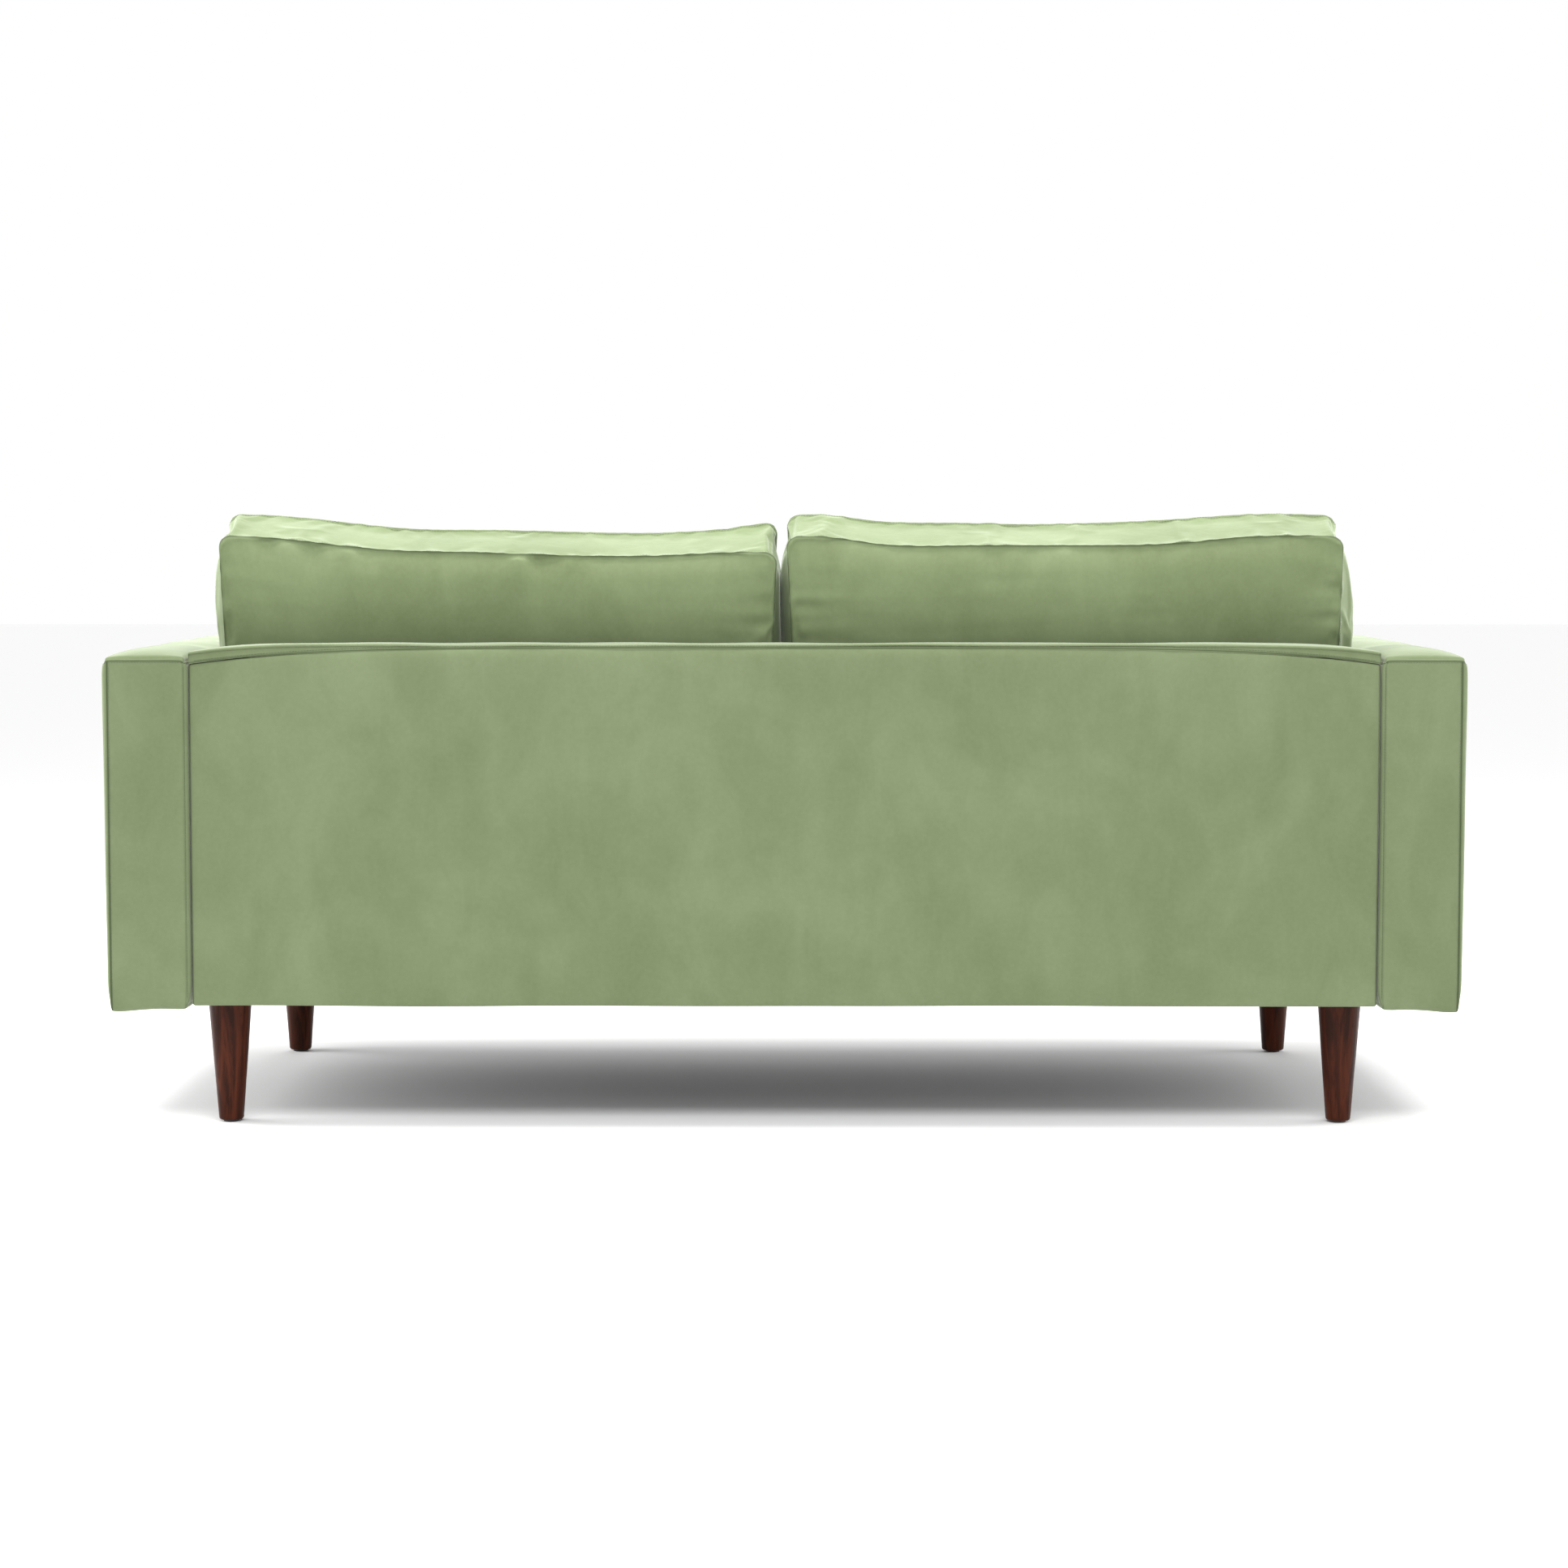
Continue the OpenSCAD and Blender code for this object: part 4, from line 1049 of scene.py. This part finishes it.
def make_seat_cushion(end, seed):
    """One seat cushion: cut, filled, gathered at its seams and held down by the back cushion."""
    side = LEFT if end == "left" else RIGHT
    lo, hi = low("seat_cover_left") + (3 * MM, 2 * MM, 1.5 * MM), high("seat_cover_left").copy()
    hi -= (3.5 * MM, 1 * MM, 12 * MM)
    size = hi - lo
    zip_z = (low("seat_zip_left")[2] + high("seat_zip_left")[2]) / 2 - lo[2]
    slot_rows = zip_z + np.array([-10, -8, -6.2, -3, 0, 3, 6.2, 8, 10]) * MM
    upright = rows(0, size[2], 8 * MM, SEAM_ROWS)
    upright = upright[np.abs(upright - zip_z) > 12 * MM]
    piece = cut_block("seat_cushion_" + end, [rows(0, size[0], 9 * MM, SEAM_ROWS),
                                              rows(0, size[1], 9 * MM, SEAM_ROWS),
                                              np.sort(np.concatenate([upright, slot_rows]))])
    flat = corners(piece)
    near = edge_distances(flat, size, 2)[0]
    u, v, t = (flat / size).T
    co = soft_corners(flat, size, (0, 1), 24 * MM)
    loose = 0.5
    crown = dome(u, 3.2) * dome(v, 3.6) + 0.45 * roll_over(near, 0.04)
    co[:, 2] += np.where(t > 0.999, 15 * MM, 0) * crown * loose
    belly = dome(t, 2.4)
    co[:, 1] -= np.where(v < 0.001, 10 * MM, 0) * belly * dome(u, 8) * loose
    co[:, 0] += (np.where(u > 0.999, 6 * MM, 0) - np.where(u < 0.001, 6 * MM, 0)) * belly * loose
    co += np.stack([swell(flat, 0.2, seed), swell(flat, 0.19, seed + 1),
                    swell(flat, 0.17, seed + 2)], 1) * 1.3 * MM
    move_corners(piece, co + lo)
    blow_up(piece, near < 1e-6, pressure=3.0, slack=0.015, most=24 * MM)
    shade = gather(piece, flat, size, 2, seed + 3, strength=2.0)
    co = corners(piece)
    # the right back cushion reaches a little past the middle, and this one lifts past it
    passing = 7 * MM * np.clip((co[:, 1] - 20 * MM) / (90 * MM), 0, 1) * (side == LEFT)
    co[:, 0] = np.clip(co[:, 0], 0.9 * MM + passing, CUSHION_OUTER_X)
    co[:, 1] = np.clip(co[:, 1], ARM_LOW[1] - 6 * MM, high("seat_cover_left")[1] + 0.5 * MM)
    ahead = np.clip(BACK_FRONT_Y - co[:, 1], 0, 1)
    free = 1 - np.exp(-(ahead / 0.07) ** 2)
    co[:, 2] = np.minimum(co[:, 2], SEAT_TOP_Z + 0.2 * MM + 12 * MM * free)
    co[:, 2] = np.maximum(co[:, 2], DECK_Z + 0.4 * MM)
    # open slot for the zip in the rear boxing
    tape_lo, tape_hi = low("seat_zip_left"), high("seat_zip_left")
    mid = (tape_lo + tape_hi) / 2
    inside = (np.clip((tape_hi[2] - mid[2] + 2 * MM - np.abs(co[:, 2] - mid[2])) / (2 * MM), 0, 1)
              * np.clip((tape_hi[0] - mid[0] + 6 * MM - np.abs(co[:, 0] - mid[0])) / (6 * MM), 0, 1)
              * (co[:, 1] > mid[1] - 20 * MM))
    co[:, 1] += inside * (tape_lo[1] + 0.2 * MM - co[:, 1])
    co[:, 0] *= side
    move_corners(piece, co)
    sew_up(piece, "seat", end, flat, size, 2, shade)


# ---------------------------------------------------------------- inside back, deck, borders

def make_inside_pad():
    """Thin pad over the webbing, from the deck up to the band, sewn down the middle."""
    lo, hi = low("inside_back_pad"), high("inside_back_pad")
    thick = 12 * MM
    tall = hi[2] - lo[2] + 3.5 * MM
    pad = cut_block("inside_back", [rows(lo[0], hi[0], 14 * MM, (2, 5, 9)),
                                    rows(0, thick, 3 * MM, (1.5,)),
                                    rows(0, tall, 14 * MM, (2, 5, 9))])
    flat = corners(pad)
    x, y, z = flat.T
    gap = np.minimum.reduce([x - lo[0], hi[0] - x, z, tall - z, np.abs(x) + 2 * MM])
    sunk = 3.5 * MM * (1 - roll_over(gap, 0.03)) + 0.5 * MM * np.abs(swell(flat, 0.08, 31))
    co = flat.copy()
    co[:, 2] += lo[2]
    co[:, 1] = LEAN_Y + (co[:, 2] - LEAN_Z) * np.tan(RECLINE) + 1 * MM + y + sunk * (y < 1e-6)
    move_corners(pad, co)
    mark_seam(pad, ridge(gap, 3 * MM) * 0.6 * (y < 1e-6))
    finish_piece(pad, "velvet", "root", ["inside_back_pad"])


def make_seat_deck():
    """Platform cloth stretched over the springs, with a sewn strip along its front."""
    lo, hi = low("seat_deck"), high("seat_deck")
    deck = cut_block("seat_platform", [rows(lo[0], hi[0], 16 * MM, (2, 5)),
                                       rows(lo[1], hi[1], 12 * MM, (2, 5)),
                                       rows(lo[2], hi[2], 1.5 * MM)])
    flat = corners(deck)
    joint = ridge(flat[:, 1] - lo[1] - 0.11, 4 * MM) * (flat[:, 2] > hi[2] - 1e-5)
    co = flat.copy()
    co[:, 2] -= 0.8 * MM * joint + 0.4 * MM * np.abs(swell(flat * (1, 1, 0), 0.09, 33))
    move_corners(deck, co)
    mark_seam(deck, joint * 0.6)
    finish_piece(deck, "velvet", "root", ["seat_deck"])


def make_front_border():
    """Border over the front rail: up the front, over a soft edge and back to the deck."""
    lo, hi = low("front_rail_cover"), high("front_rail_cover")
    bend = 9 * MM
    rise, arc = hi[2] - bend - lo[2], bend * pi / 2
    back = hi[1] - lo[1] - bend
    total = rise + arc + back
    border = cut_block("front_border", [rows(lo[0], hi[0], 12 * MM, (2, 5, 9)), rows(0, 1, 0.5),
                                        rows(0, total, 4 * MM, (1, 2.5, 5))])
    flat = corners(border)
    x, depth, s = flat.T
    turn = np.clip((s - rise) / bend, 0, pi / 2)
    y = lo[1] + bend * (1 - np.cos(turn)) + np.clip(s - rise - arc, 0, back)
    z = lo[2] + np.clip(s, 0, rise) + bend * np.sin(turn)
    wall = np.where(s > rise + arc / 2, 3 * MM, 6 * MM)
    gap = np.minimum(np.minimum(s, np.abs(s - rise - arc)), np.minimum(x - lo[0], hi[0] - x))
    puff = (2.5 * MM * roll_over(gap, 0.03) - 1.5 * MM + swell(flat, 0.09, 35) * 0.4 * MM
            + swell(flat * (1, 1, 0.2), 0.018, 36) * 0.5 * MM * np.exp(-np.abs(s - rise) / 0.03))
    puff *= np.where(s > rise + arc, 0, 1) * (depth < 0.01)
    inward = depth * wall - puff
    move_corners(border, np.stack([x, y + np.cos(turn) * inward, z - np.sin(turn) * inward], 1))
    border.data.flip_normals()
    mark_seam(border, ridge(np.abs(s - rise - arc), 2 * MM) * 0.7 * (depth < 0.01))
    recalculate(border)
    finish_piece(border, "velvet", "root", ["front_rail_cover"])


def recalculate(piece):
    """Turns every face of a piece outwards."""
    activate(piece)
    bpy.ops.object.mode_set(mode="EDIT")
    bpy.ops.mesh.select_all(action="SELECT")
    bpy.ops.mesh.normals_make_consistent(inside=False)
    bpy.ops.object.mode_set(mode="OBJECT")


STAPLE_PITCH = 55 * MM
STAPLE_INSET = 9 * MM
DUST_CLOTH_T = 1.5 * MM


def staple_row(start, end):
    """Frames of the staples along one edge: place, way along, way across and way out."""
    start, end = np.array(start), np.array(end)
    long = np.linalg.norm(end - start)
    way, down = (end - start) / long, np.array([0, 0, -1])
    count = int(long / STAPLE_PITCH)
    return [(start + (end - start) * (k + 0.5) / count, way, np.cross(down, way), down)
            for k in range(count)]


def copies(name, shape, faces, frames):
    """One mesh of many small copies of a shape, each set in a frame (place, x, y, z)."""
    points = np.concatenate([at + shape @ np.array([x, y, z]) for at, x, y, z in frames])
    loops = [[k * len(shape) + i for i in face] for k in range(len(frames)) for face in faces]
    return new_object(name, points, loops)


def small_block(size, edge):
    """A little block with broken edges, as points and faces, centred on the origin."""
    deselect()
    bpy.ops.mesh.primitive_cube_add(size=1)
    block = bpy.context.object
    move_corners(block, corners(block) * size)
    bpy.ops.object.mode_set(mode="EDIT")
    bpy.ops.mesh.select_all(action="SELECT")
    bpy.ops.mesh.bevel(offset=edge, segments=1)
    bpy.ops.object.mode_set(mode="OBJECT")
    shape, faces = corners(block), [list(p.vertices) for p in block.data.polygons]
    bpy.data.objects.remove(block)
    return shape, faces


def dust_panel(name, lo, hi, seed):
    """A thin flat cloth with a slight slackness away from its edges."""
    panel = cut_block(name, [rows(lo[0], hi[0], 14 * MM, (3,)), rows(lo[1], hi[1], 14 * MM, (3,)),
                             rows(lo[2], hi[2], 1.0 * MM)])
    flat = corners(panel)
    edge = np.minimum.reduce([flat[:, 0] - lo[0], hi[0] - flat[:, 0],
                              flat[:, 1] - lo[1], hi[1] - flat[:, 1]])
    co = flat.copy()
    co[:, 2] += 0.35 * MM * swell(flat * (1, 1, 0), 0.06, seed) * np.clip(edge / 0.02, 0, 1)
    move_corners(panel, co)
    return panel


def make_dust_cover():
    """Black cloth stapled under the frame, cut out round the legs, and under each arm."""
    lo, hi = low("end_rail_right"), high("end_rail_left")
    cloth = low("dust_cover")[2], low("dust_cover")[2] + DUST_CLOTH_T
    under = low("front_rail")[2]
    whole = dust_panel("dust_cover_seat", (lo[0], low("front_rail")[1], under - 1.4 * MM),
                       (hi[0], high("rear_rail")[1], under - 0.1 * MM), 37)
    for leg in LEGS:
        centre = (low(leg) + high(leg)) / 2
        deselect()
        radius = (high(leg) - low(leg))[0] / 2 + 1 * MM
        bpy.ops.mesh.primitive_cylinder_add(vertices=48, radius=radius, depth=0.02,
                                            location=(centre[0], centre[1], under))
        cutter = bpy.context.object
        activate(whole)
        cut = whole.modifiers.new("leg_hole", "BOOLEAN")
        cut.operation, cut.object, cut.solver = "DIFFERENCE", cutter, "EXACT"
        bpy.ops.object.modifier_apply(modifier=cut.name)
        bpy.data.objects.remove(cutter)
    finish_piece(whole, "dust_cloth", "root", ["dust_cover"])
    frames = []
    face = under - DUST_CLOTH_T
    x0, x1 = lo[0] + STAPLE_INSET, hi[0] - STAPLE_INSET
    y0, y1 = low("front_rail")[1] + STAPLE_INSET, high("rear_rail")[1] - STAPLE_INSET
    for a, b in (((x0, y0, face), (x1, y0, face)), ((x1, y1, face), (x0, y1, face)),
                 ((x1, y0, face), (x1, y1, face)), ((x0, y1, face), (x0, y0, face))):
        frames.extend(staple_row(a, b))
    for end, side in (("left", LEFT), ("right", RIGHT)):
        inner, outer = ARM_LOW[0] + ARM_FLANGE, ARM_HIGH[0] - ARM_FLANGE
        a, b = sorted((inner * side, outer * side))
        strip = dust_panel("dust_cover_arm_" + end,
                           (a, ARM_LOW[1] + ARM_FLANGE, cloth[0] - 0.2 * MM),
                           (b, ARM_HIGH[1] - ARM_FLANGE, cloth[1] - 0.4 * MM), 38)
        finish_piece(strip, "dust_cloth", "root")
        for x in (a + 6 * MM, b - 6 * MM):
            frames.extend(staple_row((x, ARM_LOW[1] + 30 * MM, cloth[0] - 0.4 * MM),
                                     (x, ARM_HIGH[1] - 30 * MM, cloth[0] - 0.4 * MM)))
    shape, faces = small_block((10 * MM, 1.1 * MM, 0.6 * MM), 0.15 * MM)
    staples = copies("dust_cover_staples", shape, faces, frames)
    finish_piece(staples, "steel", "root")


GLIDE_RADIUS, GLIDE_RIM = 12 * MM, 0.9 * MM


def make_glides():
    """Round plastic glides, each with a rounded rim and the head of its nail in a dimple."""
    made = []
    for leg in LEGS:
        centre = (low(leg) + high(leg)) / 2
        height = low(leg)[2]
        deselect()
        bpy.ops.mesh.primitive_cylinder_add(vertices=40, radius=GLIDE_RADIUS, depth=height,
                                            location=(centre[0], centre[1], height / 2))
        glide = bpy.context.object
        bpy.ops.object.mode_set(mode="EDIT")
        bpy.ops.mesh.select_all(action="DESELECT")
        mesh = bmesh.from_edit_mesh(glide.data)
        for face in mesh.faces:
            face.select_set(face.normal.z < -0.9)
        bmesh.update_edit_mesh(glide.data)
        bpy.ops.mesh.bevel(offset=GLIDE_RIM, segments=3)
        bpy.ops.mesh.select_all(action="DESELECT")
        mesh = bmesh.from_edit_mesh(glide.data)
        flat_face = min(mesh.faces, key=lambda f: f.calc_center_median().z - f.calc_area())
        flat_face.select_set(True)
        bmesh.update_edit_mesh(glide.data)
        bpy.ops.mesh.inset(thickness=6 * MM)
        bpy.ops.mesh.inset(thickness=0.8 * MM, depth=-0.7 * MM)
        bpy.ops.mesh.inset(thickness=0.8 * MM, depth=0.4 * MM)
        bpy.ops.object.mode_set(mode="OBJECT")
        made.append(glide)
    deselect()
    for glide in made:
        glide.select_set(True)
    bpy.context.view_layer.objects.active = made[0]
    bpy.ops.object.join()
    bpy.ops.object.transform_apply(location=True, rotation=True, scale=True)
    made[0].name = made[0].data.name = "glides"
    finish_piece(made[0], "glide", "root", ["foot_glides"])
    activate(made[0])
    bpy.ops.object.shade_smooth_by_angle(angle=radians(35))


# ---------------------------------------------------------------- zips

TOOTH_PITCH, TOOTH_STAGGER, CHAIN_INSET = 2.6 * MM, 0.6 * MM, 4 * MM


def make_zip(kind, end):
    """The chain of teeth along a tape, and the slider with its tab."""
    side = LEFT if end == "left" else RIGHT
    tape_lo, tape_hi = low(f"{kind}_zip_{end}"), high(f"{kind}_zip_{end}")
    mid = (tape_lo + tape_hi) / 2
    if kind == "seat":
        out, across, face = np.array([0, 1, 0]), np.array([0, 0, 1]), tape_hi[1]
        base = np.array([0, face, mid[2]])
    else:
        out, across, face = np.array([0, 0, -1]), np.array([0, 1, 0]), tape_lo[2]
        base = np.array([0, mid[1], face])
    along = np.array([1.0, 0, 0])
    count = int((tape_hi[0] - tape_lo[0] - 2 * CHAIN_INSET) / TOOTH_PITCH)
    shape, faces = small_block((1.9 * MM, 3.2 * MM, 1.4 * MM), 0.3 * MM)
    frames = []
    for k in range(count):
        x = tape_lo[0] + CHAIN_INSET + (k + 0.5) * TOOTH_PITCH
        offset = TOOTH_STAGGER * (-1) ** k
        frames.append((base + along * x + across * offset + out * 0.4 * MM, along, across, out))
    teeth = copies(f"{kind}_zip_teeth_{end}", shape, faces, frames)
    finish_piece(teeth, "steel", f"{kind}_cushion_{end}")
    slider_lo, slider_hi = low(f"{kind}_slider_{end}"), high(f"{kind}_slider_{end}")
    parts = []
    length = slider_hi[0] - slider_lo[0]
    for (place_x, place_y, place_z), size, edge in (
            ((0.25, 0, 1.5), (length * 0.5, 7 * MM, 1.2 * MM), 0.5 * MM),
            ((0.25, 0, 2.3), (length * 0.26, 2.2 * MM, 1.2 * MM), 0.4 * MM),
            ((-0.22, 0, 2.2), (length * 0.56, 4.6 * MM, 0.9 * MM), 0.3 * MM)):
        block, block_faces = small_block(size, edge)
        block = block + (place_x * length, place_y, place_z * MM)
        parts.append((block, block_faces))
    points = np.concatenate([p for p, _ in parts])
    starts = np.cumsum([0] + [len(p) for p, _ in parts[:-1]])
    loops = [[start + i for i in face] for start, (_, fs) in zip(starts, parts) for face in fs]
    middle = (slider_lo[0] + slider_hi[0]) / 2
    slider = copies(f"{kind}_zip_slider_{end}", points, loops,
                    [(base + along * middle, along * side, across, out)])
    recalculate(slider)
    finish_piece(slider, "steel", f"{kind}_zip_slider_{end}", [f"{kind}_slider_{end}"])


# ---------------------------------------------------------------- build everything

set_camera()
set_lights()
add_floor()
MATERIALS = build_materials()

for node, thing in frame["nodes"].items():
    slot = next(s["material_slot"] for s in frame["record"]["subparts"] if s["node"] == node)
    thing.data.materials.clear()
    thing.data.materials.append(MATERIALS[slot])

make_arms()
make_back_panel()
make_top_band()
for leg_name in LEGS:
    make_leg(leg_name)
make_inside_pad()
make_seat_deck()
make_front_border()
make_dust_cover()
make_glides()
for half in ("left", "right"):
    make_zip("seat", half)
    make_zip("back", half)
make_seat_cushion("left", 40)
make_seat_cushion("right", 60)
make_back_cushion("left", 80)
make_back_cushion("right", 100)
